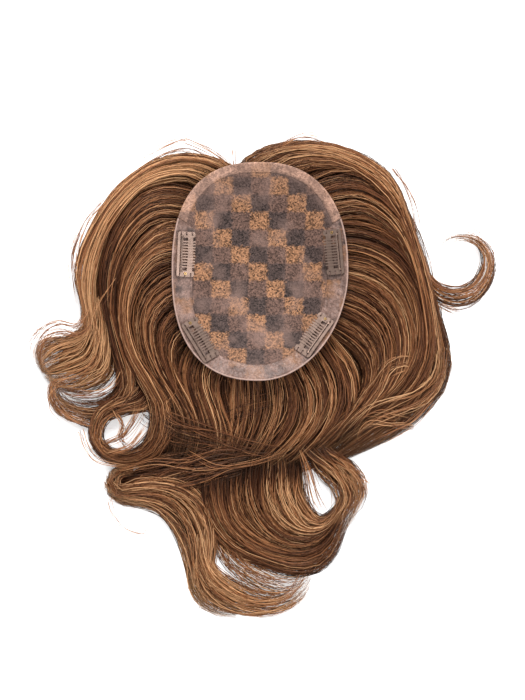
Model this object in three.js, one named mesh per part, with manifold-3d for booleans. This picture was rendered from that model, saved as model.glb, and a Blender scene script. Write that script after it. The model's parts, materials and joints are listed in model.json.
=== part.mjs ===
// A toupee hairpiece lying on its own long hair with the lining upwards, in millimetres.
// X runs across the head, +Y to the forehead, +Z up. The hair rests on Z = 0.
import * as THREE from "three";
import { mergeVertices } from "three/addons/utils/BufferGeometryUtils.js";
import Module from "manifold-3d";

const wasm = await Module();
wasm.setup();

// Overall sizes of the spread hair
const HAIR_WIDTH = 338;
const HAIR_LENGTH = 340;
const HAIR_HEIGHT = 25;

// The panel: a shallow bowl with its hollow upwards
const BASE_WIDTH = 125;
const BASE_LENGTH = 155;
const BASE_DEPTH = 17;
const BASE_WALL = 1;
const RIM_HEIGHT = 26;
const RIM_WAVE = 0.8;
const RIM_WAVES = 3;
const BASE_FORWARD_SHARE = 0.442;
const CROWN_SHARE = 0.86;

// The band round the sides and the back, and the hem along the front
const BAND_WALL = 1;
const BAND_SIDE_WIDTH = 14.5;
const BAND_BACK_WIDTH = 11.5;
const BAND_INSET = 0.4;
const BAND_RIGHT_END = 33;
const BAND_LEFT_END = 147;
const HEM_WALL = 1;
const HEM_WIDTH = 7;
const HEM_END_GAP = 0.6;

// Snap clips
const CLIP_LENGTH = 32;
const CLIP_DEPTH = 13.5;
const CLIP_SHEET = 0.7;
const CLIP_TAB = 4.3;
const CLIP_CORNER = 1.6;
const CLIP_OUTER_BAR = 2;
const CLIP_BOW_BAR = 4;
const CLIP_BOW_RISE = 0.8;
const CLIP_RIM_MARGIN = 2.4;
const HOLE_RADIUS = 0.7;
const HOLE_SPACING = 4.3;
const TOOTH_COUNT = 10;
const TOOTH_PITCH = 2;
const TOOTH_WIDTH = 0.9;
const TOOTH_OVERHANG = 1.7;
const COMB_SHEET = 0.6;
const COMB_ROOT_BAR = 1.2;
const COMB_ROOT_GAP = 0.6;
const PIN_RADIUS = 0.5;
const PIN_CLEARANCE = 0.12;
const LUG_WIDTH = 1;
const LUG_WALL = 0.5;
const EYELET_RADIUS = 1.2;
const EYELET_BORE = 0.35;
const EYELET_FLANGE = 0.35;

// Fits between neighbours
const SEAT_GAP = 0.3;
const LOCK_GAP = 0.35;

// Mesh fineness
const OUTLINE_STEPS = 40;
const BOWL_RINGS = 6;
const ARC_STEPS = 3;
const LOCK_STEPS_PER_ROW = 2;
const INNER_BEND = 0.8;
const WELD = 1e-3;
const SIMPLIFY = 0.03;

// Corner fullness of the panel's outline: 2 is an ellipse, more is squarer
const OUTLINE_POWER = { frontRight: 2.35, frontLeft: 2.5, backLeft: 2.45, backRight: 1.93 };

// Clip seats: the direction from the panel's middle, and a turn off the rim's line, in degrees
const CLIPS = [
  { name: "clip_left_side", bearing: 167, turn: 2, eyeletEnd: -1 },
  { name: "clip_right_side", bearing: 14.7, turn: -1, eyeletEnd: -1 },
  { name: "clip_back_left", bearing: 228.7, turn: -5, eyeletEnd: 1 },
  { name: "clip_back_right", bearing: 310.6, turn: 3, eyeletEnd: -1 },
];

// Half section of a lying lock from its foot to its crest: offset from the middle and height, as
// shares of the half width and of the thickness
const LOCK_HALF_SECTION = [
  [0.9, 0],
  [1, 0.3],
  [0.78, 0.78],
  [0.4, 0.96],
];

// Rows run from the root to the tip. The first row of a rooted lock is measured from the panel's
// middle in hundredths of the panel's half width and half length; the others are measured from
// the hair's middle in hundredths of the hair's half width and half length. Width is in
// hundredths of the hair's width. Top and low are in hundredths of the hair's height.
const ROW = { across: 0, along: 1, width: 2, top: 3, low: 4 };

const LOCKS = [
  {
    name: "hair_ring_curl_right",
    rooted: false,
    color: 0xab8a74,
    rows: [
      [68, 44, 4, 50, 0],
      [76, 36, 4, 52, 0],
      [85, 34, 3.8, 54, 0],
      [93.5, 38, 3.4, 54, 0],
      [97.5, 46, 3, 52, 6],
      [95, 55, 2.4, 48, 10],
      [87, 59.5, 2, 42, 12],
      [79.5, 56.5, 1.6, 34, 10],
    ],
  },
  {
    name: "hair_front_left",
    rooted: true,
    color: 0x8a6040,
    rows: [
      [-30, 70, 6, 70, 0],
      [-24, 85, 6.5, 96, 0],
      [-40, 87.5, 7, 100, 0],
      [-54, 81, 7, 100, 0],
      [-62.5, 70, 7, 96, 0],
      [-69, 59, 6.6, 92, 0],
      [-73, 48, 6, 86, 0],
      [-74, 36, 5, 80, 0],
      [-72, 26, 4.4, 76, 0],
    ],
  },
  {
    name: "hair_curl_left_outer",
    rooted: false,
    color: 0x91664a,
    rows: [
      [-71.5, 24, 4, 70, 0],
      [-76, 16.5, 5, 72, 0],
      [-86, 13.5, 5, 70, 0],
      [-94, 8, 4, 64, 0],
      [-93.5, 0, 3.4, 54, 0],
      [-86, -3.5, 2.6, 40, 0],
    ],
  },
  {
    name: "hair_front_right",
    rooted: true,
    color: 0x6a4732,
    rows: [
      [10, 74, 8, 70, 0],
      [10, 92, 9, 96, 0],
      [28, 94, 9, 100, 0],
      [44, 88, 9, 100, 0],
      [55, 77.5, 9, 100, 0],
      [62, 64, 8.6, 98, 0],
      [67, 49, 8.6, 96, 0],
      [72, 33, 8.4, 92, 0],
      [76, 17, 8, 86, 0],
      [74, 1, 8, 78, 0],
      [65.5, -12, 8, 68, 0],
      [53, -21, 7, 56, 0],
      [39, -28.5, 5, 42, 0],
    ],
  },
  {
    name: "hair_right_upper",
    rooted: true,
    color: 0x6a4732,
    rows: [
      [40, 62, 12, 70, 0],
      [38, 79, 11, 98, 0],
      [50, 73, 10.5, 100, 0],
      [58, 62, 10, 100, 0],
      [63.5, 48.5, 10, 98, 0],
      [67, 32.5, 9.6, 94, 0],
      [68.5, 17.5, 9, 88, 0],
      [66, 4, 9, 80, 0],
      [58.5, -7, 9, 70, 0],
      [46, -15.5, 8, 60, 0],
      [34, -25, 6, 46, 0],
    ],
  },
  {
    name: "hair_right_middle",
    rooted: true,
    color: 0x6a4732,
    rows: [
      [60, 32, 13, 70, 0],
      [44.5, 55.5, 12, 96, 0],
      [53, 47.5, 12, 98, 0],
      [58.5, 35, 11.5, 94, 0],
      [60.5, 21, 11, 88, 0],
      [58.5, 7, 10.5, 80, 0],
      [51, -4, 10, 70, 0],
      [41, -12, 9, 60, 0],
      [30, -21.5, 7, 50, 0],
    ],
  },
  {
    name: "hair_right_lower",
    rooted: true,
    color: 0x6a4732,
    rows: [
      [60, -15, 14, 70, 0],
      [40, 33, 14, 92, 0],
      [48, 21, 13, 90, 0],
      [50, 8, 12, 84, 0],
      [45.5, -2, 11, 76, 0],
      [36, -10.5, 10, 66, 0],
      [26, -21, 8, 56, 0],
    ],
  },
  {
    name: "hair_back_right",
    rooted: true,
    color: 0x64422e,
    rows: [
      [38, -50, 16, 70, 0],
      [27.5, 6, 15, 88, 0],
      [29, -6, 14, 82, 0],
      [24, -17, 13, 72, 0],
      [15, -29.5, 11, 60, 0],
    ],
  },
  {
    name: "hair_left_upper",
    rooted: true,
    color: 0x76513a,
    rows: [
      [-40, 62, 12, 70, 0],
      [-40, 77, 11, 98, 0],
      [-50, 70, 10, 98, 0],
      [-58, 58, 9.5, 96, 0],
      [-63, 43, 9, 90, 0],
      [-64, 28, 8, 84, 0],
      [-61, 13, 7, 76, 0],
      [-59.5, 0, 5.6, 66, 0],
      [-65, -10, 4.6, 56, 0],
      [-75, -13.5, 3.6, 46, 0],
      [-84, -10.5, 2, 34, 0],
    ],
  },
  {
    name: "hair_left_middle",
    rooted: true,
    color: 0x76513a,
    rows: [
      [-60, 32, 13, 70, 0],
      [-41, 58.5, 12, 96, 0],
      [-50, 52, 11.5, 96, 0],
      [-56, 42, 11, 92, 0],
      [-57.5, 29, 10, 86, 0],
      [-56.5, 17, 9, 80, 0],
      [-53, 5, 7.6, 74, 0],
    ],
  },
  {
    name: "hair_ring_curl_left",
    rooted: false,
    color: 0x76513a,
    rows: [
      [-55.5, 1, 4.6, 66, 0],
      [-49, -6, 4.6, 64, 0],
      [-43.5, -15, 4.4, 62, 0],
      [-43.5, -25, 4.2, 58, 0],
      [-49, -33, 4, 54, 0],
      [-58, -34.5, 3.8, 50, 0],
      [-66, -29, 3.4, 48, 0],
      [-67.5, -20, 3, 46, 4],
    ],
  },
  {
    name: "hair_left_lower",
    rooted: true,
    color: 0x694832,
    rows: [
      [-60, -20, 14, 70, 0],
      [-40, 33, 14, 90, 0],
      [-47, 22, 12.5, 86, 0],
      [-46.5, 10, 12, 80, 0],
      [-41, -1, 11.5, 74, 0],
      [-35, -11, 11, 66, 0],
      [-32.5, -22, 10, 58, 0],
      [-36, -31, 8, 50, 0],
    ],
  },
  {
    name: "hair_back_left",
    rooted: true,
    color: 0x64422e,
    rows: [
      [-38, -50, 16, 70, 0],
      [-25.5, 5, 14, 86, 0],
      [-26, -6, 13, 78, 0],
      [-24, -17, 12, 68, 0],
      [-25, -30, 11, 56, 0],
    ],
  },
  {
    name: "hair_back_middle",
    rooted: true,
    color: 0x64422e,
    rows: [
      [0, -60, 17, 70, 0],
      [1, -4, 16, 86, 0],
      [1, -13, 15, 78, 0],
      [-3.5, -23, 15, 66, 0],
      [-8, -33, 13, 56, 0],
    ],
  },
  {
    name: "hair_tail_brush",
    rooted: false,
    color: 0x7b533b,
    rows: [
      [18, -33, 7, 56, 0],
      [29, -38, 7, 58, 0],
      [36.5, -46, 6.6, 58, 0],
      [39.5, -56, 6, 54, 0],
      [37, -67, 5.4, 48, 0],
      [29.5, -77, 4, 40, 0],
    ],
  },
  {
    name: "hair_tail_inner",
    rooted: false,
    color: 0x7b533b,
    rows: [
      [6, -34.5, 9.4, 60, 0],
      [1, -46, 9, 62, 0],
      [4, -58, 8, 60, 0],
      [13.5, -66, 7, 56, 0],
      [25, -66.5, 5.6, 50, 0],
      [33, -60, 4, 44, 0],
    ],
  },
  {
    name: "hair_tail_outer",
    rooted: false,
    color: 0x71473a,
    rows: [
      [-9, -35, 10, 60, 0],
      [-15, -47, 10, 60, 0],
      [-14, -61, 9.4, 56, 0],
      [-4, -73.5, 8.6, 52, 0],
      [11, -80, 7.4, 46, 0],
      [25, -80, 5.4, 38, 0],
    ],
  },
  {
    name: "hair_tail_left",
    rooted: false,
    color: 0x6b4631,
    rows: [
      [-14, -36, 8.6, 56, 0],
      [-27, -39.5, 9.2, 56, 0],
      [-41, -43, 9.4, 52, 0],
      [-53, -46, 8, 44, 0],
      [-62, -46, 5, 32, 0],
    ],
  },
  {
    name: "hair_tail_left_arc",
    rooted: false,
    color: 0x6b4631,
    rows: [
      [-42, -49, 8, 48, 0],
      [-31, -55, 9.4, 50, 0],
      [-25.5, -66, 9.4, 50, 0],
      [-25, -79, 8, 46, 0],
      [-23, -90, 5.4, 38, 0],
    ],
  },
  {
    name: "hair_tail_bottom",
    rooted: false,
    color: 0x64412d,
    rows: [
      [-20, -90.5, 5, 38, 0],
      [-12, -96, 5.2, 42, 0],
      [0, -97, 5.2, 42, 0],
      [12, -92.5, 4.8, 40, 0],
      [20, -84.5, 3.6, 34, 0],
    ],
  },
];

const halfWidth = BASE_WIDTH / 2;
const halfLength = BASE_LENGTH / 2;
const baseMiddle = new THREE.Vector2(0, (BASE_FORWARD_SHARE * HAIR_LENGTH) / 2);

// Powers of the outline's quadrant that holds a direction
function outlinePower(x, y) {
  if (y >= 0) return x >= 0 ? OUTLINE_POWER.frontRight : OUTLINE_POWER.frontLeft;
  return x >= 0 ? OUTLINE_POWER.backRight : OUTLINE_POWER.backLeft;
}

// Share of the way from the panel's middle to its rim, 1 on the rim
function rimShare(x, y) {
  const power = outlinePower(x, y);
  const sum = Math.pow(Math.abs(x) / halfWidth, power) + Math.pow(Math.abs(y) / halfLength, power);
  return Math.pow(sum, 1 / power);
}

// Distance from the panel's middle to its rim along a bearing in radians
function rimRadius(bearing) {
  return 1 / rimShare(Math.cos(bearing), Math.sin(bearing));
}

// Height of the panel's lower side at a place measured from its middle
function bowlHeight(x, y) {
  const share = rimShare(x, y);
  const wave = RIM_WAVE * Math.pow(share, 4) * Math.sin(RIM_WAVES * Math.atan2(y, x));
  return RIM_HEIGHT - BASE_WALL - BASE_DEPTH * (1 - share * share) + wave;
}

function solidOf(geometry) {
  const bare = geometry.index ? geometry.toNonIndexed() : geometry.clone();
  bare.deleteAttribute("normal");
  bare.deleteAttribute("uv");
  const merged = mergeVertices(bare, WELD);
  const kept = [];
  const index = merged.index.array;
  for (let i = 0; i < index.length; i += 3) {
    const [a, b, c] = [index[i], index[i + 1], index[i + 2]];
    if (a !== b && b !== c && a !== c) kept.push(a, b, c);
  }
  const mesh = { numProp: 3, vertProperties: merged.attributes.position.array };
  const solid = new wasm.Manifold(new wasm.Mesh({ ...mesh, triVerts: new Uint32Array(kept) }));
  if (solid.volume() > 0) return solid;
  for (let i = 0; i < kept.length; i += 3) [kept[i], kept[i + 1]] = [kept[i + 1], kept[i]];
  return new wasm.Manifold(new wasm.Mesh({ ...mesh, triVerts: new Uint32Array(kept) }));
}

function geometryOf(solid) {
  const { numProp, numVert, vertProperties, triVerts } = solid.getMesh();
  const positions = new Float32Array(numVert * 3);
  for (let i = 0; i < numVert; i++) {
    positions.set(vertProperties.subarray(i * numProp, i * numProp + 3), i * 3);
  }
  const geometry = new THREE.BufferGeometry();
  geometry.setAttribute("position", new THREE.BufferAttribute(positions, 3));
  geometry.setIndex(new THREE.BufferAttribute(triVerts, 1));
  geometry.computeVertexNormals();
  return geometry;
}

function largestBody(solid) {
  const bodies = solid.decompose().filter((body) => body.volume() > 0);
  return bodies.reduce((best, body) => (body.volume() > best.volume() ? body : best));
}

// Closed mesh through sections that all hold the same number of points, with flat ends
function loft(rings) {
  const count = rings[0].length;
  const end = (rings.length - 1) * count;
  const index = [];
  for (let here = 0; here < end; here += count) {
    const next = here + count;
    for (let j = 0; j < count; j++) {
      const k = (j + 1) % count;
      index.push(here + j, here + k, next + k, here + j, next + k, next + j);
    }
  }
  for (let j = 1; j < count - 1; j++) {
    index.push(0, j + 1, j, end, end + j, end + j + 1);
  }
  const geometry = new THREE.BufferGeometry().setFromPoints(rings.flat());
  geometry.setIndex(index);
  return solidOf(geometry);
}

// A disc turned round the Z axis and pressed to the panel's outline. Heights come from the two
// functions of a place on the disc.
function panelDisc(share, topAt, bottomAt) {
  const profile = [];
  for (let i = 0; i <= BOWL_RINGS; i++) profile.push(new THREE.Vector2(i / BOWL_RINGS, 0));
  for (let i = BOWL_RINGS; i >= 0; i--) profile.push(new THREE.Vector2(i / BOWL_RINGS, 1));
  const disc = new THREE.LatheGeometry(profile, OUTLINE_STEPS);
  const position = disc.attributes.position;
  for (let i = 0; i < position.count; i++) {
    const radius = Math.hypot(position.getX(i), position.getZ(i));
    const bearing = Math.atan2(position.getZ(i), position.getX(i));
    const reach = radius * share * rimRadius(bearing);
    const x = reach * Math.cos(bearing);
    const y = reach * Math.sin(bearing);
    const z = position.getY(i) > 0.5 ? topAt(x, y) : bottomAt(x, y);
    position.setXYZ(i, x + baseMiddle.x, y + baseMiddle.y, z);
  }
  return solidOf(disc);
}

// A strip that follows the rim on the panel's upper side, between two bearings in degrees
function rimStrip(from, to, widthAt, wall) {
  const steps = Math.ceil((Math.abs(to - from) / 360) * OUTLINE_STEPS);
  const rings = [];
  for (let i = 0; i <= steps; i++) {
    const bearing = THREE.MathUtils.degToRad(from + ((to - from) * i) / steps);
    const outer = rimRadius(bearing) - BAND_INSET;
    const across = [0, 0.5, 1].map((part) => outer - part * widthAt(bearing));
    const place = (radius, rise) => {
      const x = radius * Math.cos(bearing);
      const y = radius * Math.sin(bearing);
      const z = bowlHeight(x, y) + BASE_WALL + SEAT_GAP + rise;
      return new THREE.Vector3(x + baseMiddle.x, y + baseMiddle.y, z);
    };
    const under = across.map((radius) => place(radius, 0));
    const over = across.map((radius) => place(radius, wall)).reverse();
    rings.push([...under, ...over]);
  }
  return loft(rings);
}

function bandWidthAt(bearing) {
  const backward = Math.max(0, -Math.sin(bearing));
  return THREE.MathUtils.lerp(BAND_SIDE_WIDTH, BAND_BACK_WIDTH, backward * backward);
}

// Smooth value of a table's column between its rows
function columnAt(rows, column, at) {
  const row = Math.min(Math.floor(at), rows.length - 2);
  const value = (k) => rows[Math.min(Math.max(k, 0), rows.length - 1)][column];
  const t = at - row;
  const [a, b, c, d] = [value(row - 1), value(row), value(row + 1), value(row + 2)];
  const bend = 2 * a - 5 * b + 4 * c - d;
  const twist = 3 * b - a - 3 * c + d;
  return b + 0.5 * t * (c - a + t * (bend + t * twist));
}

// A lock's rows in millimetres: middle x and y, width, top and low
function sizedRows(lock) {
  return lock.rows.map((row, i) => {
    const fromBase = lock.rooted && i === 0;
    const acrossUnit = (fromBase ? BASE_WIDTH : HAIR_WIDTH) / 200;
    const alongUnit = (fromBase ? BASE_LENGTH : HAIR_LENGTH) / 200;
    const start = fromBase ? baseMiddle : new THREE.Vector2();
    return [
      start.x + row[ROW.across] * acrossUnit,
      start.y + row[ROW.along] * alongUnit,
      (row[ROW.width] * HAIR_WIDTH) / 100,
      (row[ROW.top] * HAIR_HEIGHT) / 100,
      (row[ROW.low] * HAIR_HEIGHT) / 100,
    ];
  });
}

// The lock as one lying slab with a crowned top. In a tight bend the inner side stops short of
// the bend's middle, so that no two sections cross. Grow makes the larger form that clears it.
function lockSolid(lock, grow = 0) {
  const rows = sizedRows(lock);
  const steps = (rows.length - 1) * LOCK_STEPS_PER_ROW;
  const spots = [];
  for (let i = 0; i <= steps; i++) {
    const at = i / LOCK_STEPS_PER_ROW;
    spots.push(rows[0].map((_, column) => columnAt(rows, column, at)));
  }
  const rings = spots.map(([x, y, width, top, low], i) => {
    const before = spots[Math.max(i - 1, 0)];
    const after = spots[Math.min(i + 1, steps)];
    const arriving = new THREE.Vector2(x - before[0], y - before[1]);
    const leaving = new THREE.Vector2(after[0] - x, after[1] - y);
    const along = new THREE.Vector2().addVectors(arriving, leaving).normalize();
    const lengths = arriving.length() * leaving.length();
    const turn = lengths > 0 ? Math.asin(arriving.cross(leaving) / lengths) : 0;
    const bendRadius = (arriving.length() + leaving.length()) / (2 * Math.abs(turn));
    const push = i === 0 ? -grow : i === steps ? grow : 0;
    const foot = Math.max(low, 0) - grow;
    const height = top + grow - foot;
    const point = ([offset, rise]) => {
      const inner = offset * turn > 0;
      const half = (inner ? Math.min(width / 2, INNER_BEND * bendRadius) : width / 2) + grow;
      const px = x + along.x * push - along.y * offset * half;
      const py = y + along.y * push + along.x * offset * half;
      return new THREE.Vector3(px, py, foot + rise * height);
    };
    const right = LOCK_HALF_SECTION.map(([offset, rise]) => [-offset, rise]);
    const left = [...LOCK_HALF_SECTION].reverse();
    return [[0, 0], ...right, [0, 1], ...left].map(point);
  });
  return loft(rings);
}

function named(solid, material, name) {
  const mesh = new THREE.Mesh(geometryOf(solid), material);
  mesh.name = name;
  return mesh;
}

const part = new THREE.Group();

// Panel, band and hem
const laceMaterial = new THREE.MeshStandardMaterial({ color: 0x6b5650, roughness: 0.85 });
const skinMaterial = new THREE.MeshStandardMaterial({ color: 0x977a72, roughness: 0.45 });
const hemMaterial = new THREE.MeshStandardMaterial({ color: 0xab8370, roughness: 0.7 });

const upperSide = (x, y) => bowlHeight(x, y) + BASE_WALL;
part.add(named(panelDisc(1, upperSide, bowlHeight), laceMaterial, "base_mesh"));

const band = rimStrip(BAND_LEFT_END, 360 + BAND_RIGHT_END, bandWidthAt, BAND_WALL);
part.add(named(band, skinMaterial, "edge_band"));
const endAngle = THREE.MathUtils.radToDeg(HEM_END_GAP / halfWidth);
const hemFrom = BAND_RIGHT_END + endAngle;
const hemTo = BAND_LEFT_END - endAngle;
part.add(named(rimStrip(hemFrom, hemTo, () => HEM_WIDTH, HEM_WALL), hemMaterial, "front_hem"));

// Hair under the panel, and the locks that fan out from it. Each lock is cut clear of the ones
// made before it, so the table's order says which lock lies over which.
const crownTop = (lift) => (x, y) => bowlHeight(x, y) - SEAT_GAP + lift;
const crown = panelDisc(CROWN_SHARE, crownTop(0), () => 0);
const crownMaterial = new THREE.MeshStandardMaterial({ color: 0x533524, roughness: 0.6 });
part.add(named(crown, crownMaterial, "hair_crown"));

const grownShare = CROWN_SHARE + LOCK_GAP / halfWidth;
const aboveAll = () => 3 * (RIM_HEIGHT + HAIR_HEIGHT);
const panelRoom = panelDisc(1 + LOCK_GAP / halfWidth, aboveAll, crownTop(0));
const keptClear = [panelDisc(grownShare, aboveAll, () => -1), panelRoom];
for (const lock of LOCKS) {
  let solid = lockSolid(lock);
  for (const other of keptClear) solid = solid.subtract(other);
  const material = new THREE.MeshStandardMaterial({ color: lock.color, roughness: 0.5 });
  part.add(named(largestBody(solid.simplify(SIMPLIFY)), material, lock.name));
  keptClear.push(lockSolid(lock, LOCK_GAP));
}

// Clips. Their own frame: X along the clip, Y out to the rim, Z away from the band.
const steel = new THREE.MeshStandardMaterial({ color: 0x8d8078, roughness: 0.3, metalness: 0.9 });
const brass = new THREE.MeshStandardMaterial({ color: 0xb08a4a, roughness: 0.3, metalness: 0.9 });

const clipHalf = CLIP_LENGTH / 2;
const clipEdge = CLIP_DEPTH / 2;
const windowHalf = clipHalf - CLIP_TAB;
const bowInnerEdge = -clipEdge + TOOTH_OVERHANG;
const windowBack = bowInnerEdge + CLIP_BOW_BAR;
const windowFront = clipEdge - CLIP_OUTER_BAR;
const combLift = CLIP_SHEET + SEAT_GAP;
const pinY = windowFront - COMB_ROOT_GAP - COMB_ROOT_BAR / 2;
const pinZ = combLift + COMB_SHEET / 2;
const lugInner = windowHalf + SEAT_GAP;
const pinHoleRadius = PIN_RADIUS + PIN_CLEARANCE;

function extruded(shape, depth, from) {
  const options = { depth, bevelEnabled: false, curveSegments: ARC_STEPS };
  const geometry = new THREE.ExtrudeGeometry(shape, options);
  return geometry.translate(0, 0, from);
}

// End tabs, outer bar and bow bar, stamped from one sheet, with a lug for the comb at each end
function clipFrame() {
  const sheet = new THREE.Shape();
  sheet.moveTo(-clipHalf + CLIP_CORNER, -clipEdge);
  sheet.lineTo(-windowHalf - TOOTH_OVERHANG / 2, -clipEdge);
  sheet.lineTo(-windowHalf, bowInnerEdge);
  sheet.quadraticCurveTo(0, bowInnerEdge - CLIP_BOW_RISE, windowHalf, bowInnerEdge);
  sheet.lineTo(windowHalf + TOOTH_OVERHANG / 2, -clipEdge);
  sheet.lineTo(clipHalf - CLIP_CORNER, -clipEdge);
  sheet.absarc(clipHalf - CLIP_CORNER, -clipEdge + CLIP_CORNER, CLIP_CORNER, -Math.PI / 2, 0);
  sheet.absarc(clipHalf - CLIP_CORNER, clipEdge - CLIP_CORNER, CLIP_CORNER, 0, Math.PI / 2);
  sheet.absarc(-clipHalf + CLIP_CORNER, clipEdge - CLIP_CORNER, CLIP_CORNER, Math.PI / 2, Math.PI);
  sheet.absarc(-clipHalf + CLIP_CORNER, -clipEdge + CLIP_CORNER, CLIP_CORNER, Math.PI, Math.PI * 1.5);
  const window = new THREE.Path();
  window.moveTo(-windowHalf, windowBack);
  window.lineTo(-windowHalf, windowFront);
  window.lineTo(windowHalf, windowFront);
  window.lineTo(windowHalf, windowBack);
  window.quadraticCurveTo(0, windowBack - CLIP_BOW_RISE, -windowHalf, windowBack);
  sheet.holes.push(window);
  for (const end of [-1, 1]) {
    for (const spot of [-1, 0, 1]) {
      const hole = new THREE.Path();
      hole.absarc(end * (clipHalf - CLIP_TAB / 2), spot * HOLE_SPACING, HOLE_RADIUS, 0, 2 * Math.PI, true);
      sheet.holes.push(hole);
    }
  }
  let solid = solidOf(extruded(sheet, CLIP_SHEET, 0));
  for (const end of [-1, 1]) solid = solid.add(clipLug(end));
  return solid;
}

// A round-topped ear that stands on the end tab, bored for the comb's pin
function clipLug(end) {
  const reach = pinHoleRadius + LUG_WALL;
  const foot = CLIP_SHEET / 2;
  const ear = new THREE.Shape();
  ear.moveTo(pinY - reach, foot);
  ear.lineTo(pinY + reach, foot);
  ear.lineTo(pinY + reach, pinZ);
  ear.absarc(pinY, pinZ, reach, 0, Math.PI);
  ear.lineTo(pinY - reach, foot);
  const bore = new THREE.Path();
  bore.absarc(pinY, pinZ, pinHoleRadius, 0, 2 * Math.PI, true);
  ear.holes.push(bore);
  const geometry = extruded(ear, LUG_WIDTH, 0);
  geometry.applyMatrix4(new THREE.Matrix4().set(0, 0, 1, 0, 1, 0, 0, 0, 0, 1, 0, 0, 0, 0, 0, 1));
  return solidOf(geometry.translate(end > 0 ? lugInner : -lugInner - LUG_WIDTH, 0, 0));
}

// Root bar with round-tipped teeth and the pin that it turns on
function clipComb() {
  const barHalf = windowHalf - SEAT_GAP;
  const barOuter = pinY + COMB_ROOT_BAR / 2;
  const barInner = pinY - COMB_ROOT_BAR / 2;
  const toothHalf = TOOTH_WIDTH / 2;
  const comb = new THREE.Shape();
  comb.moveTo(-barHalf, barInner);
  for (let i = 0; i < TOOTH_COUNT; i++) {
    const x = (i - (TOOTH_COUNT - 1) / 2) * TOOTH_PITCH;
    comb.lineTo(x - toothHalf, barInner);
    comb.lineTo(x - toothHalf, -clipEdge + toothHalf);
    comb.absarc(x, -clipEdge + toothHalf, toothHalf, Math.PI, 2 * Math.PI);
    comb.lineTo(x + toothHalf, barInner);
  }
  comb.lineTo(barHalf, barInner);
  comb.lineTo(barHalf, barOuter);
  comb.lineTo(-barHalf, barOuter);
  comb.lineTo(-barHalf, barInner);
  const pinLength = 2 * (lugInner + LUG_WIDTH);
  const pin = new THREE.CylinderGeometry(PIN_RADIUS, PIN_RADIUS, pinLength, 4 * ARC_STEPS);
  pin.rotateZ(Math.PI / 2).translate(0, pinY, pinZ);
  return solidOf(extruded(comb, COMB_SHEET, combLift)).add(solidOf(pin));
}

// A flanged ring with its barrel down the tab's middle hole
function clipEyelet(end) {
  const barrel = HOLE_RADIUS - SEAT_GAP / 2;
  const foot = CLIP_SHEET / 4;
  const seat = CLIP_SHEET + SEAT_GAP;
  const crest = seat + EYELET_FLANGE;
  const profile = [
    [EYELET_BORE, foot],
    [barrel, foot],
    [barrel, seat],
    [EYELET_RADIUS, seat],
    [EYELET_RADIUS - EYELET_FLANGE / 2, crest],
    [EYELET_BORE, crest],
    [EYELET_BORE, foot],
  ].map(([radius, height]) => new THREE.Vector2(radius, height));
  const ring = new THREE.LatheGeometry(profile, 3 * ARC_STEPS);
  return solidOf(ring.rotateX(Math.PI / 2).translate(end * (clipHalf - CLIP_TAB / 2), 0, 0));
}

// The clip's place: flat on the band at a bearing, lifted until its corners clear the band
function clipSeat({ bearing, turn }) {
  const angle = THREE.MathUtils.degToRad(bearing);
  const radius = rimRadius(angle) - CLIP_RIM_MARGIN - CLIP_DEPTH / 2;
  const x = radius * Math.cos(angle);
  const y = radius * Math.sin(angle);
  const bandTop = (px, py) => bowlHeight(px, py) + BASE_WALL + SEAT_GAP + BAND_WALL;
  const slope = (dx, dy) => (bandTop(x + dx, y + dy) - bandTop(x - dx, y - dy)) / 2;
  const steepest = new THREE.Vector3(-slope(1, 0), -slope(0, 1), 1).normalize();
  const step = 0.01;
  const rimLine = new THREE.Vector3(
    rimShare(x, y + step) - rimShare(x, y - step),
    rimShare(x - step, y) - rimShare(x + step, y),
    0,
  );
  rimLine.applyAxisAngle(new THREE.Vector3(0, 0, 1), THREE.MathUtils.degToRad(turn));
  const outward = new THREE.Vector3().crossVectors(steepest, rimLine).normalize();
  if (outward.x * x + outward.y * y < 0) outward.negate();
  const lengthwise = new THREE.Vector3().crossVectors(outward, steepest).normalize();
  const middle = new THREE.Vector3(x, y, bandTop(x, y));
  let lift = 0;
  for (const a of [-1, -0.5, 0, 0.5, 1]) {
    for (const b of [-1, 0, 1]) {
      const corner = middle.clone().addScaledVector(lengthwise, a * clipHalf);
      corner.addScaledVector(outward, b * clipEdge);
      const above = bandTop(corner.x, corner.y) - corner.z;
      lift = Math.max(lift, above * steepest.z);
    }
  }
  middle.addScaledVector(steepest, lift + SEAT_GAP);
  const seat = new THREE.Matrix4().makeBasis(lengthwise, outward, steepest);
  return seat.setPosition(middle.x + baseMiddle.x, middle.y + baseMiddle.y, middle.z);
}

for (const clip of CLIPS) {
  const group = new THREE.Group();
  group.applyMatrix4(clipSeat(clip));
  group.add(named(clipFrame(), steel, clip.name + "_frame"));
  group.add(named(clipComb(), steel, clip.name + "_comb"));
  group.add(named(clipEyelet(clip.eyeletEnd), brass, clip.name + "_eyelet"));
  part.add(group);
}

// The part's origin is the middle of its footprint on the surface that it lies on
const footprint = new THREE.Box3().setFromObject(part, true);
part.position.set(-(footprint.min.x + footprint.max.x) / 2, -(footprint.min.y + footprint.max.y) / 2, 0);

export default part;
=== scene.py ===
"""A toupee hairpiece lying on its own long hair, lining upwards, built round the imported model."""

import json
import math

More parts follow.
